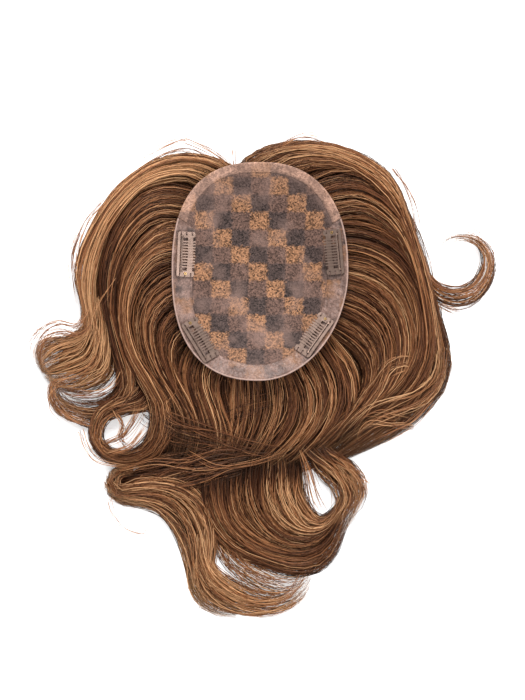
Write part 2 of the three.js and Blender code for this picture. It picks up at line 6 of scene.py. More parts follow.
import bpy
import numpy as np
from bpy.props import FloatProperty, FloatVectorProperty, PointerProperty
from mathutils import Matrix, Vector


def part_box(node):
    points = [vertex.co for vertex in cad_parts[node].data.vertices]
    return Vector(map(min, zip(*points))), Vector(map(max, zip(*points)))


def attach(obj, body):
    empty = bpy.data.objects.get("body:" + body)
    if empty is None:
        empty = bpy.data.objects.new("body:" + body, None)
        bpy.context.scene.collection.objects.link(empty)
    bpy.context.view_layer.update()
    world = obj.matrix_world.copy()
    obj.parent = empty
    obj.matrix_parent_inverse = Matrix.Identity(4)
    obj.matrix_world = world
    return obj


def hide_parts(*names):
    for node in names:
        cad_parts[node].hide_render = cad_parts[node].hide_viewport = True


bl_info = {
    "name": "Toupee Hairpiece",
    "version": (1, 0, 0),
    "blender": (4, 5, 0),
    "location": "3D View > Sidebar > Hairpiece",
    "description": "Builds a clip-in hair topper lying on its long wavy hair",
    "category": "Object",
}

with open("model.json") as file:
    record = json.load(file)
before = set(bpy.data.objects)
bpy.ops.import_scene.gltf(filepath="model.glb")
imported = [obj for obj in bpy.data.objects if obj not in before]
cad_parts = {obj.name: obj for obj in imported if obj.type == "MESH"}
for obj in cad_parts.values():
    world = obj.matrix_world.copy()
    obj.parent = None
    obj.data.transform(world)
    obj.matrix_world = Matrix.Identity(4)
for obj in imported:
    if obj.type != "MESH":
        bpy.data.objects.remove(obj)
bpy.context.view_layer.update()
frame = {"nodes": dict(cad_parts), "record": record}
MM = 0.001

# The panel's place and size come from the frame
PANEL_LOW, PANEL_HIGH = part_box("base_mesh")
PANEL_X = (PANEL_LOW.x + PANEL_HIGH.x) / 2
PANEL_Y = (PANEL_LOW.y + PANEL_HIGH.y) / 2
PANEL_HALF_WIDTH = (PANEL_HIGH.x - PANEL_LOW.x) / 2
PANEL_HALF_LENGTH = (PANEL_HIGH.y - PANEL_LOW.y) / 2

# The bowl that the panel is pressed to, as the frame has it
BOWL_DEPTH = 17 * MM
PANEL_WALL = 1 * MM
RIM_TOP = 26 * MM
RIM_WAVE = 0.8 * MM
RIM_WAVES = 3
OUTLINE_POWERS = {(1, 1): 2.35, (-1, 1): 2.5, (-1, -1): 2.45, (1, -1): 1.93}

# The band and the hem on the rim: the bearings of their ends in degrees, their widths, and their
# sections as share of the width, then offset inward and height above the lace in millimetres
BAND_ENDS = (147, 393)
HEM_ENDS = (BAND_ENDS[1] - 360 + 0.4, BAND_ENDS[0] - 0.4)
BAND_SIDE_WIDTH = 14.5 * MM
BAND_BACK_WIDTH = 11.5 * MM
HEM_WIDTH = 7 * MM
BAND_SECTION = (
    (0, 0.25, 0.05), (0, -0.15, 0.3), (0, -0.25, 0.75), (0, 0.05, 1.2), (0, 0.55, 1.35),
    (0, 1.05, 1.2), (0, 1.5, 0.95), (0.2, 0.6, 0.9), (0.4, 0, 0.95), (0.6, 0, 0.92), (0.8, 0, 0.9),
    (1, -0.9, 0.85), (1, -0.25, 0.6), (1, 0, 0.25), (1, -0.3, 0.04), (0.5, 0, 0.04),
)
HEM_SECTION = (
    (0, 0.2, 0.05), (0, -0.1, 0.3), (0, -0.1, 0.7), (0, 0.3, 0.95), (0.2, 0, 0.75), (0.5, 0, 0.5),
    (0.8, 0, 0.24), (1, -0.2, 0.1), (1, 0, 0.07), (1, -0.3, 0.04), (0.5, 0, 0.04),
)

# How far out the hair mass under the panel reaches, as a share of the way to the rim
CROWN_SHARE = 0.84

# Snap clip sizes: its length, its end tabs, their holes, and the pin's place from the middle
CLIP_LENGTH = 32 * MM
CLIP_TAB = 4.3 * MM
HOLE_SPACING = 4.3 * MM
CLIP_PIN_Y = 3.55 * MM
CLIP_PIN_Z = 1.3 * MM

# The spread hair's half sizes, and its middle behind the panel's
HAIR_HALF_WIDTH = 169 * MM
HAIR_HALF_LENGTH = 170 * MM
HAIR_SETBACK = 75.1 * MM

# Height of the lying hair's top along its length: hundredths of the half length, then metres
TOP_ALONG = (-100, -80, -60, -30, -12, 0, 17, 40, 100)
TOP_HEIGHT = np.array((9.5, 11.5, 14, 14.5, 17, 19, 21.5, 24.0, 24.6)) * MM

# The knot check: its first row and column, and how far the columns slant in each row
CHECK_TOP = PANEL_Y + 67.2 * MM
CHECK_LEFT = PANEL_X - 19.3 * MM
CHECK_DRIFT = 0.36 * MM

# Photograph's scale and framing
PIXEL = 0.715 * MM
VIEW_PIXELS = (525, 700)
VIEW_MIDDLE_PIXEL = (262.5, 350)
HAIR_MIDDLE_PIXEL = (260, 377)


def hair_stream(name, strands, clumps, segments, **options):
    """A stream of hair: its counts and options, with the usual values for the rest."""
    usual = dict(
        nodes=(name,), top=1.0, root=0.9, tip=0.4, sway=1.4, dawn=0.35, dusk=0.1, feather=0.2,
        late=0.1, core=0.85, low=1, bands=((-1, 0), (1, 0)), glow=((0, -0.04), (1, 0.06)),
    )
    counts = dict(name=name, strands=strands, clumps=clumps, segments=segments)
    return {**usual, **counts, **options}


# Streams of hair: the name, then how many strands, clumps, and places along each strand.
# Rows: the sections across the stream, from the root to the tip. Each is one edge and then the
# other, as across and along in hundredths of the hair's half width and half length from the hair's
# middle.
# Nodes: the pieces of the imported model that the stream stands for.
# Tint: from 0, dark, to 1, gold. Painted highlights and painted shade shift it across the stream,
# at shifts from -1, the first edge, to 1, and along the stream, at shares of the length.
# Top: share of the full height. Root and tip: how much of it is left at the root, and lost at the
# tip. Sway: the strands' waves in millimetres.
# Painted shade at the roots and the tips: how much they darken. Feather: how far the tips spread
# back.
# Late: share of the strands that start further on. Core: share of the length with a solid mass,
# dark with painted shade.
# Low: share of the height that the upper strands stay under, for hair that fills in beneath.
STREAMS = (
    hair_stream(
        "hair_front_left", 470, 40, 20, tint=0.65, tip=0.15, sway=1.3, dusk=0.0, feather=0.3,
        bands=((-1, 0.0), (-0.6, 0.08), (-0.2, 0.14), (0.3, -0.02), (0.7, 0.0), (1, -0.25)),
        glow=((0, 0.08), (0.3, 0.1), (0.55, 0), (0.8, 0.1), (1, 0.06)),
        rows=(
            (-6, 86, -17, 68), (-13, 90, -25, 77), (-22, 93.5, -33, 81.5), (-34, 94, -42, 80.5),
            (-46, 90.5, -51, 76.5), (-56, 84, -58, 68.5), (-64.5, 75, -63.5, 59),
            (-71, 65, -67, 49), (-76, 55, -69, 38), (-78.5, 44, -68.5, 27), (-76.5, 34, -67.5, 18),
            (-76, 24.5, -65, 8), (-80, 19, -66, -1), (-86, 16, -72, -4.5),
        ),
    ),
    hair_stream(
        "hair_curl_left_outer", 400, 26, 16, tint=0.78, top=0.85, root=0.85, tip=0.5, sway=1.7,
        core=0.88, feather=0.14,
        rows=(
            (-75.5, 34, -66, 34), (-75, 22, -63, 19), (-78, 18.5, -62, 9), (-83, 16.8, -63, 0.5),
            (-88.5, 16.2, -68.5, -4), (-92.5, 14.4, -76, -6.3), (-95, 11, -83, -6),
            (-95, 6.5, -88.5, -3), (-91.8, 2.5, -90.5, 0.5), (-88.5, 1, -88, 3),
        ),
    ),
    hair_stream(
        "hair_left_upper", 470, 40, 22, tint=0.36, top=0.95, tip=0.35, sway=1.6, core=0.62,
        feather=0.32,
        bands=((-1, -0.12), (-0.5, 0), (0, -0.1), (0.5, 0.08), (1, -0.12)),
        glow=((0, 0.14), (0.25, 0.04), (0.38, -0.24), (0.54, -0.24), (0.7, 0.05), (1, 0.25)),
        rows=(
            (-18, 76, -24, 60), (-28, 81, -33, 63), (-40, 83, -42, 64), (-50, 80, -49, 60),
            (-58.5, 72, -54.5, 52), (-64.4, 61, -58, 43), (-67.6, 49, -59.5, 34),
            (-68, 37, -60, 26), (-66.5, 26, -58.5, 19), (-64.4, 15.6, -57, 13),
            (-62.7, 8, -54.5, 6.5), (-60.8, 1, -52.5, 0), (-61, -4.5, -53.4, -8),
            (-64.6, -8.4, -59.3, -14.7), (-70, -10.3, -67.8, -17.8), (-76.3, -10.3, -75.4, -17),
            (-81.4, -8.8, -82.8, -14.7), (-84.3, -5.9, -88.1, -9.7), (-84, -3.2, -89, -4.6),
            (-81, -1, -86, 0.6),
        ),
    ),
    hair_stream(
        "hair_left_middle", 560, 46, 20, tint=0.49,
        nodes=("hair_left_middle", "hair_ring_curl_left"), tip=0.2, core=0.7,
        bands=((-1, -0.1), (-0.5, 0.1), (0, -0.06), (0.4, 0.1), (1, -0.1)),
        glow=((0, 0), (0.3, 0.04), (0.6, -0.02), (0.8, -0.15), (1, -0.1)),
        rows=(
            (-18, 64, -20, 44), (-36, 68, -36.5, 45), (-46.5, 63, -45, 43), (-54, 54, -51.5, 36),
            (-58.5, 44, -54.5, 27), (-60.3, 33, -54.5, 18.5), (-60, 22, -52, 10.5),
            (-58.3, 12, -48, 4), (-55, 3.5, -43.5, -0.5), (-51.2, -3.4, -41, -5),
            (-47.8, -9, -38, -11), (-46.4, -15.6, -37, -17.5), (-46.8, -21.5, -38, -25),
            (-49, -26.8, -41, -31.8), (-53.2, -30.4, -48.7, -36.8), (-59.3, -31.6, -58.5, -37.9),
            (-64.4, -30, -66.3, -35.6), (-68, -26, -71.5, -30),
        ),
    ),
    hair_stream(
        "hair_ring_left_back", 170, 16, 16, tint=0.46, nodes=(), top=0.95, root=0.6, tip=0.3,
        sway=1.5, core=0.3,
        rows=(
            (-53, 2, -42, -8), (-57, -4, -47, -14), (-62, -8, -56, -15.5), (-69, -12.5, -64, -18),
            (-72, -19.8, -67.3, -22.5), (-72, -26.5, -67.3, -27), (-68.6, -32.4, -64.4, -30.4),
            (-62.7, -36, -60.2, -31.8), (-55, -37.4, -54.2, -32.4), (-46, -37, -46, -31.6),
        ),
    ),
    hair_stream(
        "hair_left_low_arc", 60, 9, 16, tint=0.66, nodes=(), top=0.6, root=0.4, sway=2.0,
        feather=0.4, core=0,
        rows=(
            (-66.5, -15.5, -67, -21), (-70, -15, -70, -21.5), (-74.5, -14, -74.5, -21.5),
            (-80.5, -11.5, -82.2, -18.2), (-85.6, -8, -87.7, -12.2), (-87.3, -4.6, -89.2, -5.6),
            (-84.7, -1.7, -86.6, -0.4), (-77, 2, -77, 5),
        ),
    ),
    hair_stream(
        "hair_left_lower", 430, 38, 15, tint=0.4, tip=0.3, sway=1.6, dusk=0.85,
        rows=(
            (-20, 48, -15, 18), (-36, 50, -26, 15), (-46.5, 46, -32, 11), (-53.5, 38, -34, 6),
            (-56.5, 27, -33, 0), (-55, 15, -30, -5.5), (-51, 5.5, -27, -11),
            (-45.5, -1.5, -24.5, -17), (-40, -8.5, -22, -25), (-37.5, -17, -23, -33),
            (-38.5, -27, -27, -40), (-43, -34, -33, -45),
        ),
    ),
    hair_stream(
        "hair_back_left", 360, 32, 12, tint=0.4, dusk=0.9,
        rows=(
            (-22, 24, -4, 11), (-31, 14, -11, 1), (-35.5, 4, -12, -6.5), (-35, -5, -9.5, -15),
            (-32, -14, -7, -23), (-29.5, -24, -7, -31), (-31, -33, -11, -38.5),
            (-34, -40, -17, -44),
        ),
    ),
    hair_stream(
        "hair_back_middle", 380, 34, 12, tint=0.42, dusk=0.92,
        rows=(
            (-14, 13.5, 13, 13.5), (-17, 1.5, 16, 1.5), (-17.5, -7.5, 18, -7),
            (-17, -16, 17, -16.5), (-18, -25, 12, -26), (-21, -33, 4, -34.5), (-25, -39, -5, -42),
        ),
    ),
    hair_stream(
        "hair_back_right", 400, 34, 13, tint=0.44, dusk=0.92,
        rows=(
            (3, 12, 24, 30), (8, 0, 34, 16), (11, -8, 41.5, 5), (11, -16.5, 44, -6),
            (7, -25.5, 42, -16), (0, -33, 36, -25), (-8, -39, 27, -33), (-16, -43, 16, -39.5),
        ),
    ),
    hair_stream(
        "hair_right_lower", 430, 38, 16, tint=0.36, sway=1.3, dusk=0.95,
        rows=(
            (17, 23, 22, 49), (30, 16, 36, 48), (38, 10.5, 47.5, 45), (43, 4, 57, 38.5),
            (44, -2.5, 63, 28.5), (41.5, -9, 65.5, 17), (36.5, -14.5, 64.5, 6),
            (31, -19.5, 59.5, -3.5), (25.5, -25, 51, -11.5), (20, -31, 42, -19), (13, -36, 33, -27),
            (5, -40, 23, -34),
        ),
    ),
    hair_stream(
        "hair_right_middle", 480, 42, 18, tint=0.41, sway=1.3, dusk=0.9,
        bands=((-1, 0.0), (-0.5, 0.12), (0, -0.05), (0.45, -0.2), (0.8, 0.08), (1, -0.1)),
        rows=(
            (20, 42, 20, 65), (36, 41, 36, 68), (46, 38.5, 49, 66), (54.5, 32.5, 59.5, 60),
            (60, 24, 67, 50), (62.5, 14.5, 71.3, 37), (62, 6, 73.2, 24), (58.5, -2, 72.3, 11.5),
            (52, -8, 68, 0), (44, -13.5, 61, -9), (36.5, -19, 52, -15), (29, -26, 43, -22),
            (22, -33, 35, -29),
        ),
    ),
    hair_stream(
        "hair_right_upper", 560, 48, 18, tint=0.41, sway=1.3, dusk=0.7,
        bands=((-1, -0.12), (-0.6, 0.1), (-0.1, 0.08), (0.4, -0.12), (0.8, 0.06), (1, 0)),
        rows=(
            (17, 58, 11, 80), (34, 63, 23, 88.5), (44, 64, 34.5, 91.5), (52, 60, 46, 88.5),
            (59, 52.5, 56, 81.5), (64.5, 42.5, 62, 71), (67.5, 31, 66.5, 58.5), (69, 19, 71, 45),
            (69.5, 8, 74.5, 32), (66, -1.5, 77, 19), (59.5, -9, 76, 7), (51, -14, 71.5, -4),
            (42, -18.5, 63.5, -12.5), (33.5, -24.5, 54, -18), (26, -31, 44.5, -24),
            (18, -36, 35.6, -31),
        ),
    ),
    hair_stream(
        "hair_front_right", 680, 54, 20, tint=0.43, dusk=0.6,
        bands=(
            (-1, 0), (-0.5, -0.12), (0, 0.06), (0.35, -0.06), (0.62, 0.2), (0.8, 0.02), (1, -0.1),
        ),
        glow=((0, 0.12), (0.3, 0.1), (0.5, -0.02), (1, 0)),
        rows=(
            (10, 74, -9, 82), (14.6, 82, -8.5, 90), (23.5, 86.5, -1, 95.8), (33, 86.5, 9.6, 99),
            (42, 84, 21.5, 99.6), (50, 78, 34, 97.3), (57.5, 69, 45, 93.2), (63, 57.5, 54.3, 86.5),
            (66, 45, 60, 77), (69, 31.5, 63.5, 66), (71.5, 19, 67, 55), (73, 8.5, 71, 44.5),
            (71.5, -1.5, 74, 33.5), (67, -9.5, 77.5, 21.5), (59.5, -16, 80.5, 10.5),
            (50.5, -21.5, 79.8, -0.5), (40.5, -26.5, 75, -9.5), (33, -31, 67.5, -17.5),
            (27.5, -34.5, 57.5, -25), (21.5, -38, 45.5, -30.5), (14, -41, 33, -36),
        ),
    ),
    hair_stream(
        "hair_right_arc_outer", 130, 30, 12, tint=0.6, nodes=(), top=1.04, root=0.8, tip=0.2,
        core=0, feather=0.4, dusk=0.3,
        rows=(
            (73, 14, 80, 12), (71.5, 3, 78.5, -1), (64.5, -3, 70.5, -12), (55.5, -6, 57, -18),
            (44.5, -10, 48, -22.5), (35.5, -17, 41, -28.5), (28.5, -25, 34.5, -35),
        ),
    ),
    hair_stream(
        "hair_right_arc_inner", 90, 28, 12, tint=0.68, nodes=(), top=1.06, root=0.7, tip=0.2,
        core=0, feather=0.4, dusk=0.3,
        rows=(
            (70, 0, 69, 9), (61.5, 1.5, 60.5, 11.5), (56.5, -1, 51, 8), (53.5, -7, 45.5, -1.5),
            (47.5, -15, 39.5, -9), (40.5, -23, 33.5, -17), (34, -30, 28, -25),
        ),
    ),
    hair_stream(
        "hair_right_swirl", 70, 30, 14, tint=0.6, nodes=(), top=1.02, root=0.6, tip=0.3, sway=1.6,
        core=0, feather=0.7, late=0.4,
        rows=(
            (66, -22, 63, -15), (59, -22.5, 57, -13), (50.8, -22, 49.5, -12.5),
            (45.5, -24, 40, -16), (44.5, -26, 35.5, -24), (47, -27, 39, -31.5),
        ),
    ),
    hair_stream(
        "hair_ring_curl_right", 120, 16, 20, tint=0.6, top=0.56, root=1.0, tip=0.35, sway=1.5,
        dawn=0.0, core=0, feather=0.5,
        rows=(
            (66, 52, 63, 44), (72, 43.5, 69, 37), (77, 39, 76, 32), (83, 37.6, 83, 29.6),
            (88, 38.7, 90, 30.7), (92, 42, 95.5, 35), (94.4, 46.7, 98.8, 41.7),
            (94.6, 51.2, 99.4, 48.4), (92.8, 54.9, 97.3, 54.5), (89.4, 57.3, 92.4, 58.8),
            (85.6, 58.2, 86.4, 60.2), (81.4, 57.6, 81.1, 59.2), (78.5, 55.2, 77.4, 56.3),
            (77, 52.8, 76, 53),
        ),
    ),
    hair_stream(
        "hair_tail_outer", 460, 38, 17, tint=0.36, top=0.95, root=0.45, tip=0.3, sway=1.8,
        dawn=0.95,
        bands=((-1, 0.12), (-0.4, -0.1), (0.1, 0.12), (0.6, -0.1), (1, 0.04)),
        glow=(
            (0, -0.5), (0.14, -0.42), (0.26, 0.02), (0.36, 0.08), (0.55, 0), (0.75, -0.14),
            (1, -0.12),
        ),
        rows=(
            (-5, -27, -24, -29), (-8, -38.3, -27, -38), (-9.5, -47.6, -27.5, -49.5),
            (-8.5, -56.8, -24.5, -60.5), (-4, -63.5, -18.5, -69.5), (4, -69, -11, -75.5),
            (13.5, -72, -0.5, -80), (22, -71, 12, -84), (28, -66.5, 23.5, -82.8),
            (32, -59.5, 31, -76.5), (34, -53, 35.5, -66.5), (35, -48, 38.5, -57.5),
        ),
    ),
    hair_stream(
        "hair_tail_inner", 430, 36, 16, tint=0.46, root=0.45, tip=0.3, sway=1.8, dawn=0.95,
        bands=((-1, -0.1), (-0.5, 0.14), (0, 0.1), (0.5, -0.12), (1, 0.1)),
        glow=(
            (0, -0.55), (0.16, -0.45), (0.28, 0.04), (0.36, 0.14), (0.55, 0.1), (0.8, -0.1),
            (1, -0.05),
        ),
        rows=(
            (14, -27, -9, -26), (17, -35.8, -11.5, -36), (17.8, -43.4, -13, -46),
            (18.8, -49, -12, -56), (21.5, -55, -7, -65), (25, -59.5, 2, -71.5),
            (28.5, -59.4, 13, -74.5), (31.2, -57, 22.5, -72.5), (33.3, -53.6, 29.5, -66.5),
            (34.8, -50, 34, -58.5), (36, -46, 38, -51),
        ),
    ),
    hair_stream(
        "hair_tail_brush", 300, 30, 14, tint=0.62, top=1.02, root=0.5, tip=0.2, sway=2.6, dawn=0.85,
        feather=0.6, core=0.72,
        glow=((0, -0.5), (0.2, -0.35), (0.35, 0), (1, 0.04)),
        rows=(
            (12, -28, 26, -24), (19, -35.4, 32, -31.5), (25.5, -41, 38.3, -36.8),
            (30.2, -46.6, 43, -42.8), (32.4, -51.5, 45, -49.4), (32, -57, 41, -56.5),
            (29.5, -61.5, 36.5, -63.5), (25.5, -66, 31.5, -70),
        ),
    ),
    # Its low tint is painted shade at the waist, where the tail goes under the mass.
    hair_stream(
        "hair_tail_left", 360, 34, 13, tint=0.16, top=0.95, root=0.6, sway=2.8, dawn=0.9,
        feather=0.4, core=0.6,
        glow=((0, -0.1), (0.5, 0), (0.8, 0.15), (1, 0.25)),
        rows=(
            (-2, -40, 4, -26), (-16, -45, -13, -27.5), (-30, -49.5, -28, -29.5),
            (-41, -53, -42, -31.5), (-50.5, -54.5, -54, -34.5), (-57.5, -54.5, -62, -38.5),
            (-62, -53, -65.8, -43.5), (-63.5, -50.5, -65.5, -48),
        ),
    ),
    hair_stream(
        "hair_tail_left_arc", 400, 36, 15, tint=0.68, top=0.99, root=0.5, tip=0.2, sway=2.4,
        dawn=0.3, late=0.35,
        bands=((-1, 0.14), (-0.4, -0.08), (0.2, 0.12), (1, -0.15)),
        rows=(
            (-54, -36.5, -54, -41.5), (-62, -38.5, -58, -43), (-66, -45.5, -59.5, -45.5),
            (-61, -52.5, -56, -45), (-52, -54, -48, -41), (-43.5, -57.8, -33, -41.5),
            (-37.3, -64.4, -23.5, -47.5), (-33, -72.5, -18.5, -57), (-31, -80.5, -18, -68),
            (-29.8, -88, -20, -77.5), (-26.5, -94.5, -20, -85), (-19.5, -99.5, -15.5, -90.5),
            (-10, -101, -8, -94),
        ),
    ),
    hair_stream(
        "hair_tail_bottom", 260, 26, 14, tint=0.74, tip=0.3, sway=2.2, feather=0.45, core=0.6,
        rows=(
            (-22, -62, -31, -70), (-21.5, -74, -28.5, -82), (-17.5, -81.5, -23, -92.5),
            (-9.5, -87.5, -12, -99), (0, -91.5, 2, -100.6), (8.5, -92, 13.5, -97.6),
            (15, -87.8, 20.8, -91.5), (19.5, -83.5, 22.5, -84.5),
        ),
    ),
    hair_stream(
        "hair_bottom_wisps", 90, 30, 10, tint=0.78, nodes=(), core=0, top=0.8, root=0.7, sway=2.0,
        feather=0.5, late=0.4,
        rows=(
            (-23, -66, -13, -64), (-15, -80, -7, -74), (-4, -89, 2, -80), (8, -93, 11, -84),
            (17, -91, 19, -82.5), (24, -84, 23, -78),
        ),
    ),
    # The hairs crossing the waist have low tints and darkened tips: painted shade where the tail
    # goes under.
    hair_stream(
        "hair_waist_cross_low", 80, 60, 11, tint=0.16, nodes=(), core=0, top=1.03, root=0.75,
        tip=0.2, sway=2.4, feather=0.6, late=0.5, dusk=0.6,
        rows=(
            (-52, -20, -46, -6), (-38, -28, -36, -13), (-24, -32, -22, -18), (-8, -35, -8, -24),
            (8, -36, 8, -27), (20, -34, 20, -27),
        ),
    ),
    hair_stream(
        "hair_waist_cross_high", 70, 50, 11, tint=0.22, nodes=(), core=0, top=1.03, root=0.75,
        tip=0.2, sway=2.4, feather=0.6, late=0.5, dusk=0.5,
        rows=(
            (14, -10, 8, -2), (-4, -18, -10, -8), (-20, -27, -24, -15), (-34, -31, -36, -19),
            (-46, -35, -46, -24),
        ),
    ),
    # The fill streams lie beneath the others; their low tints are painted shade of the hair
    # underneath.
    hair_stream(
        "hair_fill_left", 240, 40, 15, tint=0.2, nodes=(), low=0.72, core=0.93, top=0.95, tip=0.2,
        sway=2.0,
        rows=(
            (-14, 78, -12, 22), (-36, 80, -26, 16), (-50, 76, -31, 10), (-60, 66, -31, 2),
            (-65.5, 52, -29, -5), (-67, 36, -27, -12), (-65.5, 22, -26, -19), (-59, 8, -26, -25),
            (-52, -2, -27, -31), (-46, -12, -30, -36), (-45, -24, -33, -41), (-47, -33, -37, -45),
            (-52, -37.5, -45, -46),
        ),
    ),
    hair_stream(
        "hair_fill_right", 240, 40, 15, tint=0.2, nodes=(), low=0.72, core=0.93, top=0.95, tip=0.2,
        sway=2.0,
        rows=(
            (14, 22, 8, 80), (31, 17, 22, 88), (40, 10, 38, 90), (44.5, 2, 54, 82),
            (44, -6, 64, 68), (39, -13, 71, 50), (33, -19, 75.5, 28), (27, -25, 76, 8),
            (21, -31, 69, -8), (15, -36, 53, -20), (10, -40, 38, -29),
        ),
    ),
    hair_stream(
        "hair_fill_back", 220, 36, 13, tint=0.16, nodes=(), low=0.66, top=0.95, tip=0.2, sway=2.0,
        core=0.92,
        rows=(
            (-22, 28, 22, 30), (-38, 10, 40, 15), (-41, -4, 48, 1), (-39, -14, 48, -10),
            (-38, -23, 42, -20), (-39, -31, 34, -28), (-41, -39, 24, -35), (-43, -46, 10, -43),
        ),
    ),
    hair_stream(
        "hair_fill_waist", 120, 24, 9, tint=0.16, nodes=(), low=0.7, top=0.9, tip=0.3, sway=2.0,
        core=0.97,
        rows=(
            (-12, -48, -10, -29), (-28, -50.5, -27, -31), (-42, -52, -42, -33.5),
            (-53, -51.5, -55, -37.5), (-60, -49.5, -62, -42),
        ),
    ),
    hair_stream(
        "hair_fill_tail", 200, 30, 14, tint=0.24, nodes=(), low=0.7, core=0.93, top=0.9, tip=0.2,
        sway=2.0,
        rows=(
            (-26, -31, 14, -29), (-27, -40, 17, -36), (-26.5, -50, 18, -43.5),
            (-23.5, -60.5, 19, -49), (-18, -68, 21.5, -55), (-11, -74, 24, -59.5),
            (0, -78.5, 27.5, -59.5), (12, -82, 30.5, -57), (22.5, -79, 33, -54),
            (30, -71, 34.5, -51),
        ),
    ),
)

# Loose hairs that stray from the mass: how many, and their route as across and along in hundredths
# from the hair's middle
STRAYS = (
    (9, (
        (-12, 88), (-19, 93.5), (-27.5, 97.7), (-34, 99.5), (-42.4, 96.4), (-48.7, 93.5),
        (-55, 88.4),
    )),
    (10, ((-20, 90), (-30, 95), (-40, 93), (-50, 87), (-60, 79), (-68, 68))),
    (3, ((-11.5, 95.6), (-10.6, 88), (-9, 80))),
    (12, (
        (-72, 30), (-76.3, 22), (-84.7, 23.2), (-91, 20.6), (-95.3, 15.6), (-97, 10.5), (-95, 6),
    )),
    (12, ((-70, 24), (-76, 18), (-84, 19), (-90, 17), (-92.5, 12), (-92, 6), (-88, 3))),
    (8, (
        (-67.8, 9.3), (-73, 3), (-80.5, -0.4), (-87, -3.4), (-88, -7.6), (-87, -11.8), (-82.6, -16),
        (-76, -19.8),
    )),
    (14, ((-59, 3), (-62, -2.5), (-67, -6), (-74, -7), (-81, -6), (-86, -3))),
    (6, ((-84.7, -13.9), (-79.7, -18), (-74, -20.2), (-66, -21))),
    (6, ((-76.3, -22.3), (-74, -28.6), (-70, -33.7), (-63.6, -35.8), (-52, -37))),
    (4, ((-50.8, 60.6), (-61.4, 55.6), (-64.4, 48.4), (-64.4, 40.8), (-61.9, 35.8), (-60, 28))),
    (8, ((75.4, 30.3), (79, 27.5), (82.6, 25.7))),
    (8, ((84, 34), (91, 36), (96, 42), (97.5, 49), (93, 57), (85, 60.5), (79, 58))),
    (8, ((-76, 60), (-79, 50), (-78, 40), (-76, 31))),
    (8, ((-66, 74), (-73, 66), (-77.5, 56), (-80, 46))),
    (4, ((-64.4, -51.8), (-62.7, -56.8), (-57.2, -63.2), (-48.7, -64.8), (-44, -60))),
    (4, ((-23.3, -92.6), (-25.4, -96), (-27.5, -97.3))),
    (12, ((17, -32), (19, -40), (20, -47), (21.5, -53), (24, -57))),
    (12, ((18, -32), (21, -39), (23, -46), (25.5, -52), (28, -56))),
    (6, ((38, -42), (44, -44.5), (46.5, -48), (47, -52))),
    (6, ((36, -36), (42, -41), (45.5, -44))),
    (20, ((-66, -28), (-57.5, -24), (-52, -16), (-51, -11))),
    (14, ((-64, -32), (-55, -29), (-47.5, -20))),
    (12, ((-62, -14), (-58, -20), (-59, -26), (-54, -31))),
    (6, ((-12, -74), (-4, -82), (4, -86), (12, -86))),
    (6, ((18, -84), (14, -90), (6, -95), (-4, -97))),
    (6, ((-60, 42), (-68, 30), (-71, 22), (-69, 14))),
    (9, ((8, 96), (14, 99.5), (22, 101), (31, 99))),
    (9, ((56, 88), (62, 79), (65.5, 69), (67, 58))),
    (9, ((73, -10), (66, -18), (57, -23), (47, -28))),
    (6, ((-60, -40), (-45, -36), (-30, -37), (-16, -33))),
    (6, ((-50, -46), (-36, -39), (-22, -40), (-8, -35))),
    (6, ((-30, -32), (-18, -38), (-4, -37), (12, -32))),
    (6, ((-22, -62), (-30, -50), (-42, -46), (-54, -50))),
    (5, ((-40, 8), (-36, -6), (-42, -14), (-34, -24))),
    (5, ((-30, -4), (-38, -12), (-36, -22), (-44, -30))),
)

# How a stream's strands are shared out, as shares of all its strands
LOOSE_SHARE = 0.42
EDGE_SHARE = 0.08
BRIGHT_SHARE = 0.16
DULL_SHARE = 0.2
SHORT_SHARE = 0.08
FEWEST_STRANDS = 12

# Clumps: how far out they lie, and how far they and their strands stray, in clump widths
CLUMP_REACH = 0.97
CLUMP_STRAY = 0.6
STRAND_STRAY = 1.5

# How far in from a stream's edges its edge strands lie, as a share of its half width
EDGE_DEPTH = 0.12

# Spread of the tint between clumps and strands, and the shift of bright and dull strands
CLUMP_TINT = 0.13
STRAND_TINT = 0.15
BRIGHT_TINT = 0.28
DULL_TINT = 0.25

# Where strands start and stop, as shares of the stream's length
START_SPREAD = 0.12
LATE_START = (0.1, 0.45)
SHORT_STOP = (0.65, 0.95)

# How far strands gather to their clump's middle, and how far loose and clumped ones cross over
GATHER = 0.42
LOOSE_CROSSING = 0.34
CLUMP_CROSSING = 0.07

# Sizes of the waves that a clump shares, and of a loose and a clumped strand's own waves
CLUMP_WAVE = 0.7
LOOSE_WAVE = 0.6
STRAND_WAVE = 0.28

# How much painted shade darkens the deepest strands, and the spread of the strands' widths
DEEP_SHADE = 0.84
WIDTH_SPREAD = (0.65, 1.25)

# A stream's inner mass: its rings, the sections that they are picked from, and the shifts across
# it where each ring has its corners
CORE_RINGS = 30
CORE_STATIONS = 120
CORE_SHIFTS = (-1, -0.86, -0.6, -0.3, 0, 0.3, 0.6, 0.86, 1)

# Places along a stray hair
STRAY_PLACES = 20

# Sewing thread: places along a stitch, sides, and radius
THREAD_PLACES = 10
THREAD_SIDES = 6
THREAD_RADIUS = 0.16 * MM

# What the values on the rim's strips are measured by: their mean width and radius in metres
STRIP_WIDTH = 0.013
RIM_RADIUS = 0.07

FULL_TURN = 2 * math.pi

rng = np.random.default_rng(20)


# Geometry of the panel

def outline_power(x, y):
    right = np.where(x >= 0, OUTLINE_POWERS[(1, 1)], OUTLINE_POWERS[(-1, 1)])
    back = np.where(x >= 0, OUTLINE_POWERS[(1, -1)], OUTLINE_POWERS[(-1, -1)])
    return np.where(y >= 0, right, back)


def rim_share(x, y):
    """Share of the way from the panel's middle to its rim, 1 on the rim."""
    power = outline_power(x, y)
    across = np.abs(x / PANEL_HALF_WIDTH) ** power
    along = np.abs(y / PANEL_HALF_LENGTH) ** power
    return (across + along) ** (1 / power)


def rim_radius(bearing):
    return 1 / rim_share(np.cos(bearing), np.sin(bearing))


